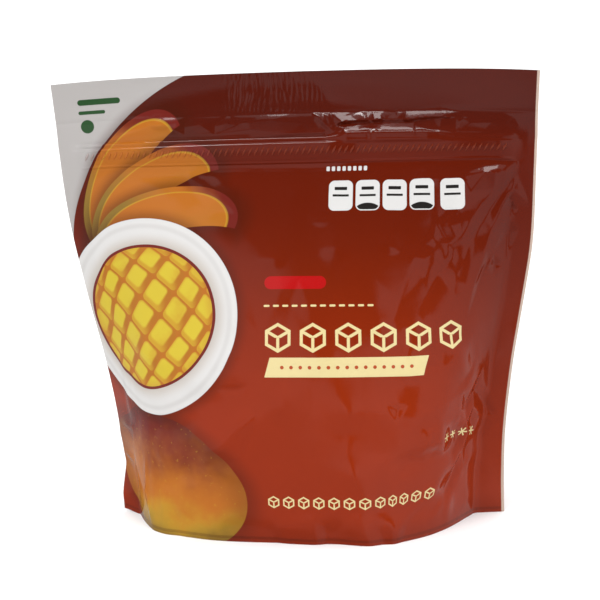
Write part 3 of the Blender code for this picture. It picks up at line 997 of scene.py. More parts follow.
def slanted_corner(points, u, v):
    """Draws the left side seal forward towards the foot, and turns it back further up."""
    up = smooth(1 - v / EDGE_TOP)[:, None]
    turned_back = (rise(v, *TURN_GROWS) * fall(v, *TURN_FADES))[:, None]
    for side, run, turn in ((FRONT, EDGE_FORWARD, FRONT_TURN), (BACK, BACK_FORWARD, BACK_TURN)):
        forward = np.interp(u, *np.array(run, float).T)[None, :] * up
        forward = forward + np.interp(u, *np.array(turn, float).T)[None, :] * turned_back
        points[side, ..., 1] -= forward
    place, reach, depth = EDGE_DENT
    dent = depth * np.clip(1 - np.abs(v - place) / reach, 0, 1)[:, None]
    points[..., 0] += dent * rise(-u, *EDGE_DENT_ACROSS)[None, :]
    return points


FOOT_PULL = 5.0
# The pull sets in and fades across, from one place and from the other, and fades upwards
PULL_FROM, PULL_TO, PULL_UP = (36, 22), (76, 14), (8, 60)
SEAL_PULL_FROM = (76, 22)


def square_foot(points, u):
    """Draws the front's right foot corner in, for a straight side. The seal takes the back along."""
    x, z = points[FRONT, ..., 0], points[FRONT, ..., 2]
    across = rise(x, *PULL_FROM) * (1 - rise(x, *PULL_TO))
    pull = FOOT_PULL * across * (1 - rise(z, *PULL_UP))
    points[FRONT, ..., 0] -= pull
    points[BACK, ..., 0] -= pull * rise(u, *SEAL_PULL_FROM)[None, :]
    return points


def dressed_film(settled_film, columns, rows):
    """Points of both sheets at those columns and rows, with their relief and thickness."""
    u_line, v_line, settled = settled_film
    down, across = spline_weights(rows, v_line), spline_weights(columns, u_line)
    points = np.einsum("ri,sijk,cj->srck", down, settled, across, optimize=True)
    u, v = np.meshgrid(columns, rows)
    normal = outward(points, columns, rows)
    height = np.stack([relief(side, u, v) for side in (FRONT, BACK)])
    sealed = smooth((np.abs(u) - INNER + 1) / 2) + smooth((v - SEAL_V + 1) / 2)
    # In the seals both sheets move together, so the front's relief carries the back
    together = np.clip(sealed, 0, 1)
    height[BACK] = height[BACK] * (1 - together) - height[FRONT] * together
    points += normal * (height + SEAL_THICKNESS / 2)[..., None]
    points[..., 2] = np.maximum(points[..., 2], 0)
    return points


class Film:
    """One part of the dressed film: its columns, rows, points and outward normals."""

    def __init__(self, settled_film, finer, stretches):
        self.columns, self.rows = column_places(finer), row_places(stretches)
        self.points = dressed_film(settled_film, self.columns, self.rows)
        self.normal = outward(self.points, self.columns, self.rows)

    def join(self, lower):
        """Takes its lowest row from the film below, which has half as many columns."""
        edge = lower.points[:, -1]
        self.points[:, 0, ::2] = edge
        self.points[:, 0, 1::2] = (edge[:, :-1] + edge[:, 1:]) / 2


# ---------------------------------------------------------------- the gusset that makes the foot

FLAT_HALF_LENGTH = 48.0
FLAT_FLOOR_SHARE = 0.78
SEAL_SWEEP_POWER = 4
FOLD_POWER = 2.2
FLOOR_POWER = 1.5
SKIRT_STEPS = 8
SKIRT_INSET, GAP_SHARE = 1.4, 0.35
SEAL_PLAY = 0.1
FLOOR_STEPS = 24
SLOT_GAP = 0.84


def seal_height(u):
    """Top of the seal that joins the gusset to the front or back film: low in the middle."""
    return GUSSET_SEAL + (GUSSET_DEPTH - GUSSET_SEAL) * abs(u / INNER) ** SEAL_SWEEP_POWER


def fold_height(u):
    """The gusset's middle fold: flat on the floor, then up to the side seals."""
    return GUSSET_DEPTH * max((abs(u) - FLAT_HALF_LENGTH) / (INNER - FLAT_HALF_LENGTH), 0) ** FOLD_POWER


def along_rows(rows, points, heights):
    return np.stack([np.interp(heights, rows, points[:, axis]) for axis in range(3)], axis=-1)


def up_the_film(rows, points, normal, across, top):
    """Points just inside the film, from its bottom edge up to top. The other sheet lies across."""
    gap = np.linalg.norm(across - points, axis=-1, keepdims=True)
    inner = points - normal * np.minimum(SKIRT_INSET, GAP_SHARE * gap)
    inner[:, 2] = np.maximum(inner[:, 2], 0)
    return along_rows(rows, inner, np.linspace(0, top, SKIRT_STEPS + 1))


def seal_path(rows, middle, u):
    """Points up inside a side seal and down again, where the gusset ends."""
    line = along_rows(rows, middle, np.linspace(0, GUSSET_DEPTH, SKIRT_STEPS + 1))
    line[:, 0] -= np.sign(u) * SLOT_GAP
    return [*line, *[line[-1]] * (FLOOR_STEPS - 1), *line[::-1]]


def floor_points(front, back, u):
    """Points across the gusset between its seals on the front and the back film."""
    floor = []
    for step in range(1, FLOOR_STEPS):
        across = 2 * step / FLOOR_STEPS - 1
        climb = max((abs(across) - FLAT_FLOOR_SHARE) / (1 - FLAT_FLOOR_SHARE), 0) ** FLOOR_POWER
        point = front + (back - front) * (step / FLOOR_STEPS)
        point[2] = fold_height(u) + (min(front[2], back[2]) - fold_height(u)) * climb
        floor.append(point)
    return floor


def underside(film):
    """For each column, the points from the front's bottom edge under the gusset to the back's."""
    rows, points, normal = film.rows, film.points, film.normal
    paths = []
    for index, u in enumerate(film.columns):
        if abs(u) > INNER + SEAL_PLAY:
            paths.append([])
        elif abs(u) > INNER - SEAL_PLAY:
            paths.append(seal_path(rows, points[:, :, index].mean(0), u))
        else:
            sheets = [(points[side, :, index], normal[side, :, index]) for side in (FRONT, BACK)]
            front = up_the_film(rows, *sheets[FRONT], sheets[BACK][0], seal_height(u))
            back = up_the_film(rows, *sheets[BACK], sheets[FRONT][0], seal_height(u))
            paths.append([*front, *floor_points(front[-1], back[-1], u), *back[::-1]])
    return paths


# ---------------------------------------------------------------- one closed mesh with two UV maps

# The front, the back and the gusset lie side by side in the film's map
SHEET_OFFSETS = (0.0, 400.0)
GUSSET_OFFSET, GUSSET_MAP_HEIGHT = 800.0, 1.2
FILM_MAP_SCALE = 100
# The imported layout: margin, the sheets' lowest place and height, and the height of the gusset's strip
PACKED_EDGE = 0.01
PACKED_SHEETS = (0.14, 0.85)
PACKED_GUSSET = 0.11


class Sheet:
    """Vertices and faces, with film coordinates and packed places for every face corner."""

    def __init__(self):
        self.points, self.faces, self.film, self.packed = [], [], [], []

    def add_points(self, points):
        start = len(self.points)
        self.points.extend(tuple(point * MM) for point in points)
        return list(range(start, start + len(points)))

    def add_face(self, corners, film, packed):
        kept = []
        for place, corner in enumerate(corners):
            if corner not in [corners[other] for other in kept]:
                kept.append(place)
        if len(kept) > 2:
            self.faces.append([corners[place] for place in kept])
            self.film.extend(film[place] for place in kept)
            self.packed.extend(packed[place] for place in kept)


def packed_place(film, row, column, side):
    """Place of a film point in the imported 0 to 1 layout: front left, back right, the gusset below."""
    width = 0.5 - 2 * PACKED_EDGE
    low, height = PACKED_SHEETS
    across = film.columns[column] / FILM_WIDTH + 0.5
    up = (film.rows[row] - film.rows[0]) / (film.rows[-1] - film.rows[0])
    return PACKED_EDGE + 0.5 * side + width * across, low + height * up


def film_place(film, row, column, offset=0.0):
    return (film.columns[column] + offset) / FILM_MAP_SCALE, film.rows[row] / FILM_MAP_SCALE


def rim_of(film, with_top):
    """Runs of (row, column) along the film's side edges, and along its top or bottom edge."""
    last_row, last_column = len(film.rows) - 1, len(film.columns) - 1
    rims = [[(row, edge) for row in range(last_row + 1)] for edge in (0, last_column)]
    ends = (0, last_row) if with_top else (last_row,)
    return rims + [[(row, column) for column in range(last_column + 1)] for row in ends]


def build_mesh(film, is_top):
    """One part of the pouch as a closed mesh."""
    sheet = Sheet()
    shape = film.points.shape[1:3]
    grids = [np.array(sheet.add_points(side.reshape(-1, 3))).reshape(shape) for side in film.points]
    for side, offset in enumerate(SHEET_OFFSETS):
        for row in range(shape[0] - 1):
            for column in range(shape[1] - 1):
                corners = ((row, column), (row, column + 1), (row + 1, column + 1), (row + 1, column))
                sheet.add_face(
                    [int(grids[side][c]) for c in corners],
                    [film_place(film, *c, offset) for c in corners],
                    [packed_place(film, *c, side) for c in corners],
                )
    for rim in rim_of(film, is_top):
        for a, b in zip(rim[:-1], rim[1:]):
            corners = (a, b, b, a)
            sheets = (FRONT, FRONT, BACK, BACK)
            sheet.add_face(
                [int(grids[s][c]) for s, c in zip(sheets, corners)],
                [film_place(film, *c) for c in corners],
                [packed_place(film, *c, FRONT) for c in corners],
            )
    if not is_top:
        add_underside(sheet, grids, film)
    return sheet


def gusset_place(u, share):
    """Place in the film's map: u across, and so far from the front's bottom edge to the back's."""
    return (u + GUSSET_OFFSET) / FILM_MAP_SCALE, share * GUSSET_MAP_HEIGHT


def gusset_packed(u, share):
    across = (1 - 2 * PACKED_EDGE) * (u / FILM_WIDTH + 0.5)
    return PACKED_EDGE + across, PACKED_EDGE + PACKED_GUSSET * share


def gusset_maps(places):
    return [gusset_place(*place) for place in places], [gusset_packed(*place) for place in places]


def underside_runs(sheet, grids, film):
    """For each column, the vertices from the front's bottom edge under the gusset to the back's."""
    runs = []
    for index, path in enumerate(underside(film)):
        middle = sheet.add_points(path)
        ids = [int(grids[FRONT][0, index]), *middle, int(grids[BACK][0, index])]
        if middle and abs(film.columns[index]) > INNER - SEAL_PLAY:
            # The slot in the side seal has no floor, so its top is one vertex
            top = SKIRT_STEPS + 1
            ids[top : top + FLOOR_STEPS + 1] = [ids[top]] * (FLOOR_STEPS + 1)
        runs.append(ids)
    return runs


def add_underside(sheet, grids, film):
    """Faces under the gusset, and the bottom rims of the side seals."""
    runs = underside_runs(sheet, grids, film)
    last = SKIRT_STEPS * 2 + FLOOR_STEPS + 2
    for index, (first, second) in enumerate(zip(runs[:-1], runs[1:])):
        u, next_u = film.columns[index], film.columns[index + 1]
        if len(first) != len(second):
            # One face joins the side seal's rim to the gusset's path
            short, long = sorted((first, second), key=len)
            corners = [short[0], long[0], long[1], long[-2], long[-1], short[-1]]
            places = [(u, share) for share in (0, 0, 0.1, 0.9, 1, 1)]
            sheet.add_face(corners, *gusset_maps(places))
            continue
        for step in range(len(first) - 1):
            low, high = step / last, (step + 1) / last
            corners = [first[step], first[step + 1], second[step + 1], second[step]]
            sheet.add_face(corners, *gusset_maps(((u, low), (u, high), (next_u, high), (next_u, low))))


def add_object(name, data):
    made = bpy.data.objects.new(name, data)
    bpy.context.scene.collection.objects.link(made)
    return made


SHARP_FROM = 45.0


def mesh_object(name, points, faces, maps, material):
    """A smooth piece from its points, faces and named maps of the film."""
    data = bpy.data.meshes.new(name)
    data.from_pydata(points, [], faces)
    for map_name, places in maps.items():
        layer = data.uv_layers.new(name=map_name)
        layer.uv.foreach_set("vector", np.array(places, np.float32).ravel())
    mesh = bmesh.new()
    mesh.from_mesh(data)
    bmesh.ops.recalc_face_normals(mesh, faces=mesh.faces)
    mesh.to_mesh(data)
    mesh.free()
    data.materials.append(material)
    data.shade_smooth()
    data.set_sharp_from_angle(angle=math.radians(SHARP_FROM))
    return add_object(name, data)


TEETH_ALONG = (-ZIP_END + 3, ZIP_END - 4)
TOOTH_PITCH = 2.7
TOOTH_ENDS = (174.9, 178.3)
TOOTH_SLANT = 1.9
TOOTH_HALF_WIDTH = 0.7
TOOTH_HEIGHT = 0.6
TOOTH_STATIONS = 7
# Cross-section of a tooth: share of its half width, share of its height
TOOTH_SECTION = ((-1, -0.4), (-0.8, 0.5), (-0.35, 0.95), (0.35, 0.95), (0.8, 0.5), (1, -0.4))


def on_film(film, values, u, v):
    """Values of one sheet's grid at film coordinates u and v."""
    columns, rows = film.columns, film.rows
    across = np.interp(u, columns, np.arange(len(columns)))
    return between(values, across, np.interp(v, rows, np.arange(len(rows))))


def tube_faces(stations, ring):
    """Faces of a tube of rings with that many corners, closed at both ends."""
    faces = []
    for station in range(stations - 1):
        for corner in range(ring):
            first, second = station * ring + corner, station * ring + (corner + 1) % ring
            faces.append([first, second, second + ring, first + ring])
    last = (stations - 1) * ring
    return [*faces, list(range(ring)), list(range(last, last + ring))]


def teeth_object(film, material):
    """The row of slanted teeth that shows through the film under the zip's ribs, on both sides."""
    along = np.linspace(0, 1, TOOTH_STATIONS)
    bulge = np.sin(np.pi * np.clip(along, 0.04, 0.96)) ** 0.6
    section = np.array(TOOTH_SECTION)
    tooth = tube_faces(TOOTH_STATIONS, len(section))
    height = TOOTH_HEIGHT * bulge[:, None] * section[:, 1]
    verts, faces, places = [], [], []
    for side, offset in enumerate(SHEET_OFFSETS):
        for start in np.arange(*TEETH_ALONG, TOOTH_PITCH):
            u = start + TOOTH_SLANT * along[:, None] + TOOTH_HALF_WIDTH * bulge[:, None] * section[:, 0]
            v = TOOTH_ENDS[0] + (TOOTH_ENDS[1] - TOOTH_ENDS[0]) * along[:, None] + 0 * u
            out = on_film(film, film.normal[side], u, v)
            place = on_film(film, film.points[side], u, v) + out * height[..., None]
            flat = np.stack([u + offset, v], axis=-1).reshape(-1, 2) / FILM_MAP_SCALE
            for face in tooth:
                faces.append([len(verts) + corner for corner in face])
                places.extend(flat[corner] for corner in face)
            verts.extend(tuple(point) for point in place.reshape(-1, 3) * MM)
    return mesh_object("zip_teeth", verts, faces, {"film": places}, material)


# ---------------------------------------------------------------- print and film material


class Field:
    """A number or vector that changes over the film, worked out by nodes."""

    tree = None

    def __init__(self, socket):
        self.socket = socket

    def __add__(self, other):
        return calc("ADD", self, other)

    def __sub__(self, other):
        return calc("SUBTRACT", self, other)

    def __rsub__(self, other):
        return calc("SUBTRACT", other, self)

    def __mul__(self, other):
        return calc("MULTIPLY", self, other)

    def __truediv__(self, other):
        return calc("DIVIDE", self, other)

    def __neg__(self):
        return calc("MULTIPLY", self, -1.0)

    __radd__ = __add__
    __rmul__ = __mul__


def node(kind, inputs, output=0, **settings):
    """A new node with those inputs, which are fields or plain values. Returns one output as a field."""
    made = Field.tree.nodes.new("ShaderNode" + kind)
    for name, value in settings.items():
        setattr(made, name, value)
    for key, value in inputs.items():
        if isinstance(value, Field):
            Field.tree.links.new(value.socket, made.inputs[key])
        else:
            made.inputs[key].default_value = value
    return Field(made.outputs[output])


def calc(operation, *values):
    return node("Math", dict(enumerate(values)), operation=operation)


def length(x, y):
    return calc("SQRT", x * x + y * y)


def larger(a, b):
    return calc("MAXIMUM", a, b)


def smaller(a, b):
    return calc("MINIMUM", a, b)


def step_over(value, low, high):
    """0 below low, 1 above high, and an even curve between."""
    inputs = {"Value": value, "From Min": low, "From Max": high}
    return node("MapRange", inputs, interpolation_type="SMOOTHSTEP")


EDGE = 0.12


def inside(distance):
    """1 where a distance to an outline is below 0."""
    return step_over(-distance, -EDGE, EDGE)


def colour_mix(share, first, second):
    """The first colour with the second one over it, by that share."""
    inputs = {0: share, 6: first, 7: second}
    for key in (6, 7):
        if isinstance(inputs[key], tuple):
            inputs[key] = (*inputs[key], 1)
    return node("Mix", inputs, 2, data_type="RGBA")


def over(colour, distance, other, share=None):
    """The colour with another one inside an outline, by that share."""
    there = inside(distance)
    return colour_mix(there * share if share else there, colour, other)


def blend(colour, other, value, low, high, share=None):
    """The colour, turning into another one as the value goes from low to high, by that share."""
    there = step_over(value, low, high)
    return colour_mix(there * share if share else there, colour, other)


def parts(vector):
    """The three numbers of a vector."""
    return [Field(socket) for socket in node("SeparateXYZ", {0: vector}).socket.node.outputs]


def turned(x, y, centre, angle):
    """Coordinates about a centre, turned by an angle in degrees."""
    c, s = math.cos(math.radians(angle)), math.sin(math.radians(angle))
    dx, dy = x - centre[0], y - centre[1]
    return dx * c + dy * s, dy * c - dx * s


def oval(x, y, centre, size, angle=0.0):
    """Distance to an oval, below 0 inside it."""
    a, b = turned(x, y, centre, angle)
    return (length(a / size[0], b / size[1]) - 1.0) * min(size)


def block(x, y, centre, size, corner=0.0, angle=0.0):
    """Distance to a block with rounded corners, below 0 inside it."""
    a, b = turned(x, y, centre, angle)
    a = calc("ABSOLUTE", a) - (size[0] / 2 - corner)
    b = calc("ABSOLUTE", b) - (size[1] / 2 - corner)
    return length(larger(a, 0.0), larger(b, 0.0)) + smaller(larger(a, b), 0.0) - corner


def repeated(x, first, pitch, count):
    """x as seen from the nearest of evenly spaced places."""
    index = calc("ROUND", (x - first) / pitch)
    index = smaller(larger(index, 0.0), count - 1.0)
    return x - first - index * pitch


def noise(vector, scale, detail=2.0, roughness=0.5):
    inputs = {"Vector": vector, "Scale": scale, "Detail": detail, "Roughness": roughness}
    return node("TexNoise", inputs)


# Colours, linear
RED_TOP = (0.060, 0.0065, 0.003)
RED_MIDDLE = (0.105, 0.008, 0.0012)
RED_LOW = (0.245, 0.0215, 0.003)
# Light red of the painted highlight on the film over the zip teeth
PAINTED_HIGHLIGHT_RED = (0.40, 0.09, 0.04)
PALE = (0.37, 0.35, 0.34)
CHINA = (0.38, 0.36, 0.35)
TAN = (0.30, 0.22, 0.15)
RULE = (0.16, 0.05, 0.03)
RIBBON_DOT = (0.35, 0.06, 0.02)
WHITE = (0.55, 0.54, 0.53)
CREAM = (0.60, 0.50, 0.25)
OLIVE = (0.20, 0.12, 0.02)
ORANGE = (0.38, 0.115, 0.013)
CRIMSON = (0.13, 0.014, 0.010)
GOLD = (0.44, 0.25, 0.02)
YELLOW = (0.50, 0.38, 0.03)
AMBER = (0.34, 0.12, 0.012)
SHADE = (0.05, 0.008, 0.003)
INK = (0.015, 0.013, 0.012)
LEAF = (0.02, 0.06, 0.02)
SIGNAL_RED = (0.36, 0.006, 0.006)
MARGIN = (0.45, 0.34, 0.28)
# The bare margin starts here, at the film's right edge
MARGIN_EDGE = 106.9


def base_print(x, y, vector):
    """Brick red, deep at the top and on the right, bright towards the foot, with soft patches, and
    painted shade along the bottom edge.
    """
    colour = blend(RED_LOW, RED_MIDDLE, y, 60.0, 160.0)
    colour = blend(colour, RED_TOP, y, 174.0, 191.0)
    # Painted shade: darker over the lowest 14 mm, next to the floor
    colour = blend(colour, RED_TOP, -y, -14.0, 2.0, 0.25)
    # Darker towards the right side, more so higher up
    colour = blend(colour, RED_TOP, x, 44.0, 104.0, step_over(y, 10.0, 90.0) * 0.38)
    return colour_mix(noise(vector, 3.0, 3.0, 0.6) * 0.3, colour, RED_MIDDLE)


def whole_fruit(colour, x, y, vector, centre, size, angle):
    """A plain fruit: golden at one end, through orange, to crimson, with small spots."""
    edge = oval(x, y, centre, size, angle)
    a, b = turned(x, y, centre, angle)
    cloud = noise(vector, 2.2, 4.0, 0.6)
    tone = b / size[1] * 0.42 - a / size[0] * 0.2 + cloud * 0.9
    skin = blend(OLIVE, GOLD, tone, -0.1, 0.35)
    skin = blend(skin, ORANGE, tone, 0.12, 0.45)
    skin = blend(skin, CRIMSON, tone, 0.4, 0.85)
    skin = blend(skin, GOLD, noise(vector, 55.0, 1.0), 0.66, 0.74, 0.3)
    skin = blend(skin, SHADE, edge, -11.0, 0.0, 0.4)
    return over(blend(colour, SHADE, edge, 7.0, -1.0, 0.45), edge, skin)


SLICE_SKIN = 2.6


def fruit_slice(colour, x, y, vector, centre, size, angle):
    """A crescent slice: skin round the outside, a pale line, and orange flesh."""
    a, b = turned(x, y, centre, angle)
    outer = oval(a, b, (0.0, 0.0), size)
    hollow = oval(a, b, (size[0] * 0.1, -size[1] * 0.95), (size[0] * 1.1, size[1] * 0.9))
    whole = larger(outer, -hollow)
    colour = blend(colour, SHADE, whole, 6.0, -1.0, 0.6)
    cloud = noise(vector, 3.0, 3.0, 0.6)
    skin = blend(OLIVE, ORANGE, a / size[0] + cloud, -0.1, 0.8)
    skin = blend(skin, CRIMSON, a / size[0] + cloud, 0.6, 1.3)
    fibres = noise(node("CombineXYZ", {0: a * 0.02, 1: b * 0.16}), 4.0, 3.0, 0.6)
    flesh = blend(AMBER, ORANGE, hollow / size[1] + fibres * 0.7, 0.0, 1.0)
    colour = over(colour, whole, skin)
    colour = over(colour, larger(outer + SLICE_SKIN, -hollow), flesh)
    line = larger(calc("ABSOLUTE", outer + SLICE_SKIN) - 0.3, whole)
    return over(colour, line, GOLD, 0.6)


CUBE = 13.5
DOME = 0.2


def scored_half(colour, x, y, vector, centre, size, angle):
    """A cut half of fruit, scored into cubes that swell out, on a white plate."""
    plate = oval(x, y, centre, (size[0] + 10, size[1] + 12), angle)
    colour = over(blend(colour, SHADE, plate, 6.0, -1.0, 0.5), plate, WHITE)
    rim = calc("ABSOLUTE", plate + 3.4) - 0.6
    colour = blend(colour, CHINA, rim, 1.2, -0.4, 0.3)
    edge = oval(x, y, centre, size, angle)
    colour = blend(colour, TAN, edge, 6.0, -1.0, 0.5)
    a, b = turned(x, y, centre, angle)
    swell = 1.0 + DOME * (a * a / size[0] ** 2 + b * b / size[1] ** 2)
    a, b = turned(a * swell, b * swell, (0.0, 0.0), 38)
    column, row = calc("ROUND", a / CUBE), calc("ROUND", b / CUBE)
    tint = node("TexWhiteNoise", {"Vector": node("CombineXYZ", {0: column, 1: row})})
    cube_a, cube_b = a - column * CUBE, b - row * CUBE
    cloud = noise(vector, 9.0, 3.0, 0.6)
    groove = colour_mix(cloud, ORANGE, AMBER)
    body = block(cube_a, cube_b, (0.0, 0.0), (CUBE - 0.9, CUBE - 0.9), 2.2)
    top = block(cube_a - 0.9, cube_b - 1.2, (0.0, 0.0), (CUBE - 3.6, CUBE - 4.2), 1.8)
    side = blend(AMBER, GOLD, cube_b - cube_a + cloud * 5, -4.0, 6.0)
    face = blend(GOLD, YELLOW, cloud + tint * 0.5 + cube_b * 0.03, 0.1, 0.7)
    flesh = over(groove, body, side)
    flesh = blend(flesh, face, top, 0.8, -0.8)
    flesh = blend(flesh, ORANGE, edge, -6.0, 0.0, 0.4)
    return over(over(colour, edge, CRIMSON), edge + 1.3, flesh)


def cube_mark(x, y, size, line):
    """Distance to a line drawing of a cube, with its outline a six-sided one."""
    x, up = calc("ABSOLUTE", x), calc("ABSOLUTE", y)
    outline = larger(x, x * 0.5 + up * 0.866) - size
    ring = calc("ABSOLUTE", outline + line / 2) - line / 2
    upright = larger(x - line / 2, y)
    arms = larger(calc("ABSOLUTE", y - x * 0.577) * 0.866 - line / 2, -y)
    return smaller(ring, larger(smaller(upright, arms), outline))


def frost_star(x, y, size, line):
    """Distance to a plain six-pointed star of three crossed bars."""
    first, second, third = (block(x, y, (0.0, 0.0), (size, line), 0, angle) for angle in (0, 60, 120))
    return smaller(first, smaller(second, third))


def badges(colour, x, y):
    """Five blank white badges with plain bars, two of them with a dark foot."""
    badge_x = repeated(x, 21.7, 12.0, 4)
    near = smaller(calc("ABSOLUTE", badge_x), calc("ABSOLUTE", x - 71.2))
    badge = block(near, y, (0.0, 155.6), (10.7, 13.8), 2.6)
    bars = block(near, y, (0.0, 158.8), (5.6, 1.5), 0.3)
    bars = smaller(bars, block(near, y, (0.0, 155.6), (7.2, 1.0), 0.2))
    colour = over(over(colour, badge, WHITE), bars, INK)
    feet = larger(badge + 0.5, oval(near, y, (0.0, 146.6), (7.0, 5.6)))
    chosen = smaller(calc("ABSOLUTE", x - 33.7), calc("ABSOLUTE", x - 57.7)) - 6.0
    return over(colour, larger(feet, chosen), INK)


SLICE_PIVOT, SLICE_REACH = (-94.0, 134.0), 35.0
SLICE_SIZE = (36.0, 19.0)
SLICE_ANGLES = (58, 36, 12)


def fruit_print(colour, x, y, vector):
    """A fan of slices, a whole fruit, and a scored half on its plate."""
    for angle in SLICE_ANGLES:
        turn = math.radians(angle)
        reach = SLICE_REACH * math.cos(turn), SLICE_REACH * math.sin(turn)
        centre = (SLICE_PIVOT[0] + reach[0], SLICE_PIVOT[1] + reach[1])
        colour = fruit_slice(colour, x, y, vector, centre, SLICE_SIZE, angle)
    colour = whole_fruit(colour, x, y, vector, (-66.0, 26.0), (46.0, 31.0), -16)
    return scored_half(colour, x, y, vector, (-70.0, 102.0), (37.0, 33.0), 14)


def front_print(colour, x, y, vector):
    """Pale corner, plain fruit shapes, badges, ribbon and rows of plain marks, and a painted shade line
    in the foot seal's fold.
    """
    corner = larger(-oval(x, y, (-10.0, 118.0), (100.0, 100.0)), larger(x + 30.0, 118.0 - y))
    marks = block(x, y, (-88.0, 200.8), (19.0, 2.6), 1.3)
    marks = smaller(marks, block(x, y, (-91.5, 196.2), (12.0, 1.6), 0.8))
    marks = smaller(marks, oval(x, y, (-94.0, 190.0), (3.0, 3.0)))
    colour = over(over(colour, corner, PALE), marks, LEAF)
    colour = badges(fruit_print(colour, x, y, vector), x, y)
    short_marks = block(repeated(x, 15.6, 2.4, 8), y, (0.0, 168.0), (1.5, 2.0), 0.4)
    lozenge = block(x, y, (2.2, 117.4), (27.0, 5.6), 2.8)
    dashes = block(repeated(x, -10.2, 4.1, 12), y, (0.0, 107.4), (2.6, 0.9), 0.4)
    cubes = cube_mark(repeated(x, -5.2, 15.2, 6), y - 93.6, 5.6, 1.3)
    across, up = x - 24.5, y - 80.8
    ribbon = block(across - up * 0.28, up, (0.0, 0.0), (69.0, 8.6), 0.2)
    dots = length(repeated(across, -28.0, 4.0, 15), up) - 0.8
    along, beside = turned(x, y, (80.5, 45.5), -4)
    stars = frost_star(repeated(along, -9.6, 6.4, 4), beside, 4.4, 0.6)
    small_cubes = cube_mark(repeated(x, -9.0, 6.7, 12), y - 20.2, 2.5, 0.6)
    shapes = (short_marks, lozenge, dashes, cubes, ribbon, dots, stars, small_cubes)
    tones = (WHITE, SIGNAL_RED, CREAM, CREAM, CREAM, RIBBON_DOT, CREAM, CREAM)
    for shape, tone in zip(shapes, tones):
        colour = over(colour, shape, tone)
    # Painted shade: a thin dark line along the foot seal's fold, 2.2 mm up
    return over(colour, calc("ABSOLUTE", y - 2.2) - 0.7, SHADE, 0.3)


def back_print(colour, x, y):
    """A plain pale panel with thin rules, a ringed disc, and a row of diamonds."""
    panel = block(x, y, (-38.0, 86.0), (70.0, 96.0), 3.0)
    rules = block(x + 38.0, repeated(y, 46.0, 8.0, 11), (0.0, 0.0), (60.0, 0.6))
    diamonds = block(repeated(x, 14.0, 13.0, 6), y, (0.0, 140.0), (7.0, 7.0), 1.6, 45)
    disc = oval(x, y, (47.0, 86.0), (30.0, 30.0))
    ring = calc("ABSOLUTE", disc + 3.0) - 0.5
    for shape, tone in ((panel, PALE), (rules, RULE), (diamonds, CREAM), (disc, GOLD), (ring, CREAM)):
        colour = over(colour, shape, tone)
    return colour


def set_surface(shader, roughness, specular):
    shader.inputs["Roughness"].default_value = roughness
    shader.inputs["Specular IOR Level"].default_value = specular


# Half way between the sheets' places in the film's map
BACK_FROM, GUSSET_FROM = 200.0, 600.0
GRAIN, GRAIN_SCALE, GRAIN_STRENGTH, GRAIN_DEPTH = 0.1, 150.0, 0.4, 0.0004
FILM_ROUGHNESS, FILM_SPECULAR = 0.1, 0.26
# Share of painted highlight on the film over the zip teeth
TEETH_PAINTED_HIGHLIGHT = 0.12


def film_material(name, brighter=0.0):
    """Glossy laminated film with its print. A share given as the second argument mixes the colour
    towards a light red: a painted highlight for the light that the zip teeth's ridges catch.
    """
    material = bpy.data.materials.new(name)
    material.use_nodes = True
    Field.tree = material.node_tree
    shader = material.node_tree.nodes["Principled BSDF"]
    place = node("UVMap", {}, uv_map="film")
    x_all, y = (part * FILM_MAP_SCALE for part in parts(place)[:2])
    on_back = step_over(x_all, BACK_FROM - 1.0, BACK_FROM + 1.0)
    on_gusset = step_over(x_all, GUSSET_FROM - 1.0, GUSSET_FROM + 1.0)
    red = base_print(x_all, y, place)
    back = back_print(red, SHEET_OFFSETS[BACK] - x_all, y)
    colour = colour_mix(on_back, front_print(red, x_all, y, place), back)
    colour = colour_mix(on_gusset, colour, RED_MIDDLE)
    to_margin = MARGIN_EDGE - (x_all - on_back * SHEET_OFFSETS[BACK])
    colour = colour_mix(inside(to_margin) * (1.0 - on_gusset), colour, MARGIN)
    # Painted highlight: the colour mixed towards a light red by that share
    if brighter:
        colour = colour_mix(brighter, colour, PAINTED_HIGHLIGHT_RED)
    # A faint all-over unevenness, a little coarser in the sealed header
    grain = noise(place, GRAIN_SCALE) * (GRAIN + step_over(y, 188.0, 196.0) * GRAIN)
    bump = node("Bump", {"Strength": GRAIN_STRENGTH, "Distance": GRAIN_DEPTH, "Height": grain})
    for socket, value in (("Base Color", colour), ("Normal", bump)):
        Field.tree.links.new(value.socket, shader.inputs[socket])
    set_surface(shader, FILM_ROUGHNESS, FILM_SPECULAR)
    return material


# ---------------------------------------------------------------- floor, light and camera


# Left, right, near and far edge, in metres
FLOOR_EDGES = (-12.0, 12.0, -0.5, 12.0)
FLOOR_COLOUR, FLOOR_ROUGHNESS = (0.9, 0.9, 0.9, 1), 0.9


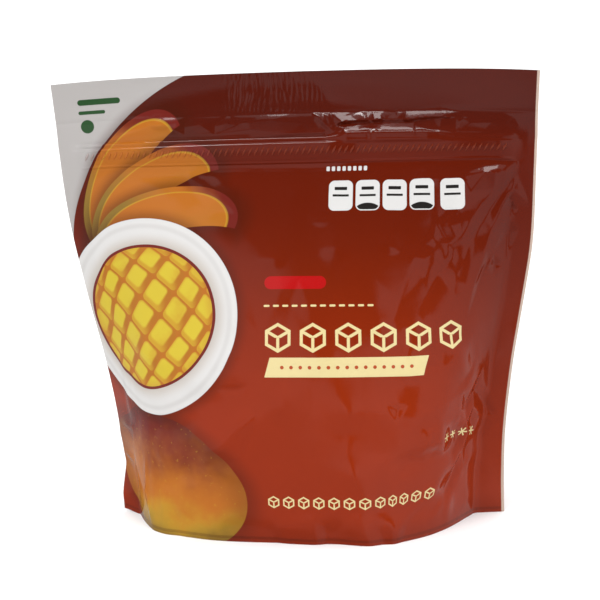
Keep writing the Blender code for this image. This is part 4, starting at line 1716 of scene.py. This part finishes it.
def add_floor():
    """A plain white floor. It ends in front, where the studio goes on in the same white."""
    left, right, near, far = FLOOR_EDGES
    data = bpy.data.meshes.new("floor")
    corners = [(left, near, 0), (right, near, 0), (right, far, 0), (left, far, 0)]
    data.from_pydata(corners, [], [(0, 1, 2, 3)])
    material = bpy.data.materials.new("floor")
    material.use_nodes = True
    shader = material.node_tree.nodes["Principled BSDF"]
    shader.inputs["Base Color"].default_value = FLOOR_COLOUR
    set_surface(shader, FLOOR_ROUGHNESS, 0.0)
    data.materials.append(material)
    floor = add_object("floor", data)
    floor.visible_glossy = False
    floor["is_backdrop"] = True


# Area lights: name, place, what they point at, size, power
SURFACE_LIGHTS = (
    ("key", (-0.9, -1.3, 1.5), (0, 0, 0.1), (1.2, 1.2), 15),
    ("fill", (1.3, -1.0, 0.9), (0, 0, 0.1), (1.0, 1.0), 7.2),
)
REFLECTED_LIGHTS = (
    ("top_box", (0, 0.05, 1.6), (0, 0.05, 0.2), (1.25, 1.25), 4.6),
    ("top_core", (0, 0.02, 1.5), (0, 0.02, 0.2), (0.42, 0.42), 4.5),
    ("strip", (-0.26, 0.2, 1.2), (0, 0, 0.18), (0.25, 0.15), 2.4),
)


def add_area_light(name, place, target, size, power, reflected):
    """A light that only reflections show, or one that they don't show."""
    data = bpy.data.lights.new(name, "AREA")
    data.shape = "RECTANGLE"
    data.size, data.size_y = size
    data.energy = power
    light = add_object(name, data)
    light.location = place
    aim = Vector(target) - Vector(place)
    light.rotation_euler = aim.to_track_quat("-Z", "Y").to_euler()
    light.visible_glossy, light.visible_diffuse = reflected, not reflected


OVERHEAD_LIGHT, OVERHEAD_SPREAD = 3.5, 120


def add_overhead():
    """Wide, even light from above, so that the floor stays white all the way out."""
    data = bpy.data.lights.new("overhead", "SUN")
    data.energy, data.angle = OVERHEAD_LIGHT, math.radians(OVERHEAD_SPREAD)
    light = add_object("overhead", data)
    light.visible_glossy = False


RIGHT_LIGHT, LOW_LIGHT, DARK = 0.9, 0.5, 0.08
BACKDROP = (1.02, 1.02, 1.02)
WALL_SOFTNESS = 0.02
# Light walls: left and right edge in radians from straight ahead to the right, top as the sine of its
# height, softness of the top, brightness
LIGHT_WALLS = (
    (-0.16, 0.03, 0.25, 0.02, 0.85),
    (-3.0, -0.135, 0.55, 0.03, 0.80),
    (0.20, 0.52, 0.42, 0.03, 0.95),
    (0.72, 3.0, 0.6, 0.05, RIGHT_LIGHT),
)


def soft_step(value, place, softness):
    return step_over(value, place - softness, place + softness)


def add_world():
    """A white studio: light walls left, right and low ahead, dark between them and overhead."""
    world = bpy.data.worlds.new("studio")
    bpy.context.scene.world = world
    world.use_nodes = True
    Field.tree = world.node_tree
    across, along, up = parts(node("TexCoord", {}))
    turn = calc("ARCTAN2", across, -along)
    walls = DARK
    for left, right, top, softness, brightness in LIGHT_WALLS:
        wall = soft_step(turn, left, WALL_SOFTNESS) * (1.0 - soft_step(turn, right, WALL_SOFTNESS))
        walls = larger(walls, wall * (1.0 - soft_step(up, top, softness)) * brightness)
    # Below the horizon: brighter on the right, darker straight down
    below = LOW_LIGHT + step_over(turn, 0.1, 0.5) * (RIGHT_LIGHT - LOW_LIGHT)
    below = below - step_over(-up, 0.5, 0.7) * 0.2
    light = blend(walls, below, -up, 0.04, 0.2)
    background = Field.tree.nodes["Background"]
    colour = colour_mix(node("LightPath", {}), light, BACKDROP)
    Field.tree.links.new(colour.socket, background.inputs["Color"])
    background.inputs["Strength"].default_value = 1.0


CAMERA_AZIMUTH = 10.398
CAMERA_ELEVATION = 14.784
CAMERA_ROLL = -2.727
CAMERA_DISTANCE = 751.964
CAMERA_TARGET = (-0.482, 0.0, 101.236)
FOCAL_PIXELS = 1665.729
PICTURE_PIXELS = 600


def add_camera():
    """The camera, as fitted to the photographed pouch's outline."""
    azimuth, elevation = math.radians(CAMERA_AZIMUTH), math.radians(CAMERA_ELEVATION)
    level = math.cos(elevation)
    back = Vector((math.sin(azimuth) * level, -math.cos(azimuth) * level, math.sin(elevation)))
    right = (-back).cross(Vector((0, 0, 1))).normalized()
    axes = Matrix((right, back.cross(right), back)).transposed()
    axes = axes @ Matrix.Rotation(math.radians(CAMERA_ROLL), 3, "Z")
    data = bpy.data.cameras.new("camera")
    data.sensor_fit = "HORIZONTAL"
    data.angle = 2 * math.atan(PICTURE_PIXELS / 2 / FOCAL_PIXELS)
    camera = add_object("camera", data)
    place = (Vector(CAMERA_TARGET) + back * CAMERA_DISTANCE) * MM
    camera.matrix_world = Matrix.Translation(place) @ axes.to_4x4()
    bpy.context.scene.camera = camera


settled = settle()
body_film, top_film = Film(settled, BODY_FINER, BODY_ROWS), Film(settled, TOP_FINER, TOP_ROWS)
top_film.join(body_film)
printed_film = film_material("printed_film")
for name, film, is_top in (("pouch_body", body_film, False), ("pouch_top", top_film, True)):
    sheet = build_mesh(film, is_top)
    maps = {"film": sheet.film, "OFBake": sheet.packed}
    piece = mesh_object(name, sheet.points, sheet.faces, maps, printed_film)
    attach(piece, "root")
    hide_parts("pouch")
teeth = teeth_object(top_film, film_material("film_over_teeth_painted_highlight", brighter=TEETH_PAINTED_HIGHLIGHT))
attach(teeth, "root")

add_floor()
add_world()
for item in SURFACE_LIGHTS:
    add_area_light(*item, reflected=False)
add_overhead()
for item in REFLECTED_LIGHTS:
    add_area_light(*item, reflected=True)
add_camera()
bpy.context.scene.view_settings.view_transform = "Standard"

[[list(corner) for corner in box] for box in (CAD_BOX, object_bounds())]
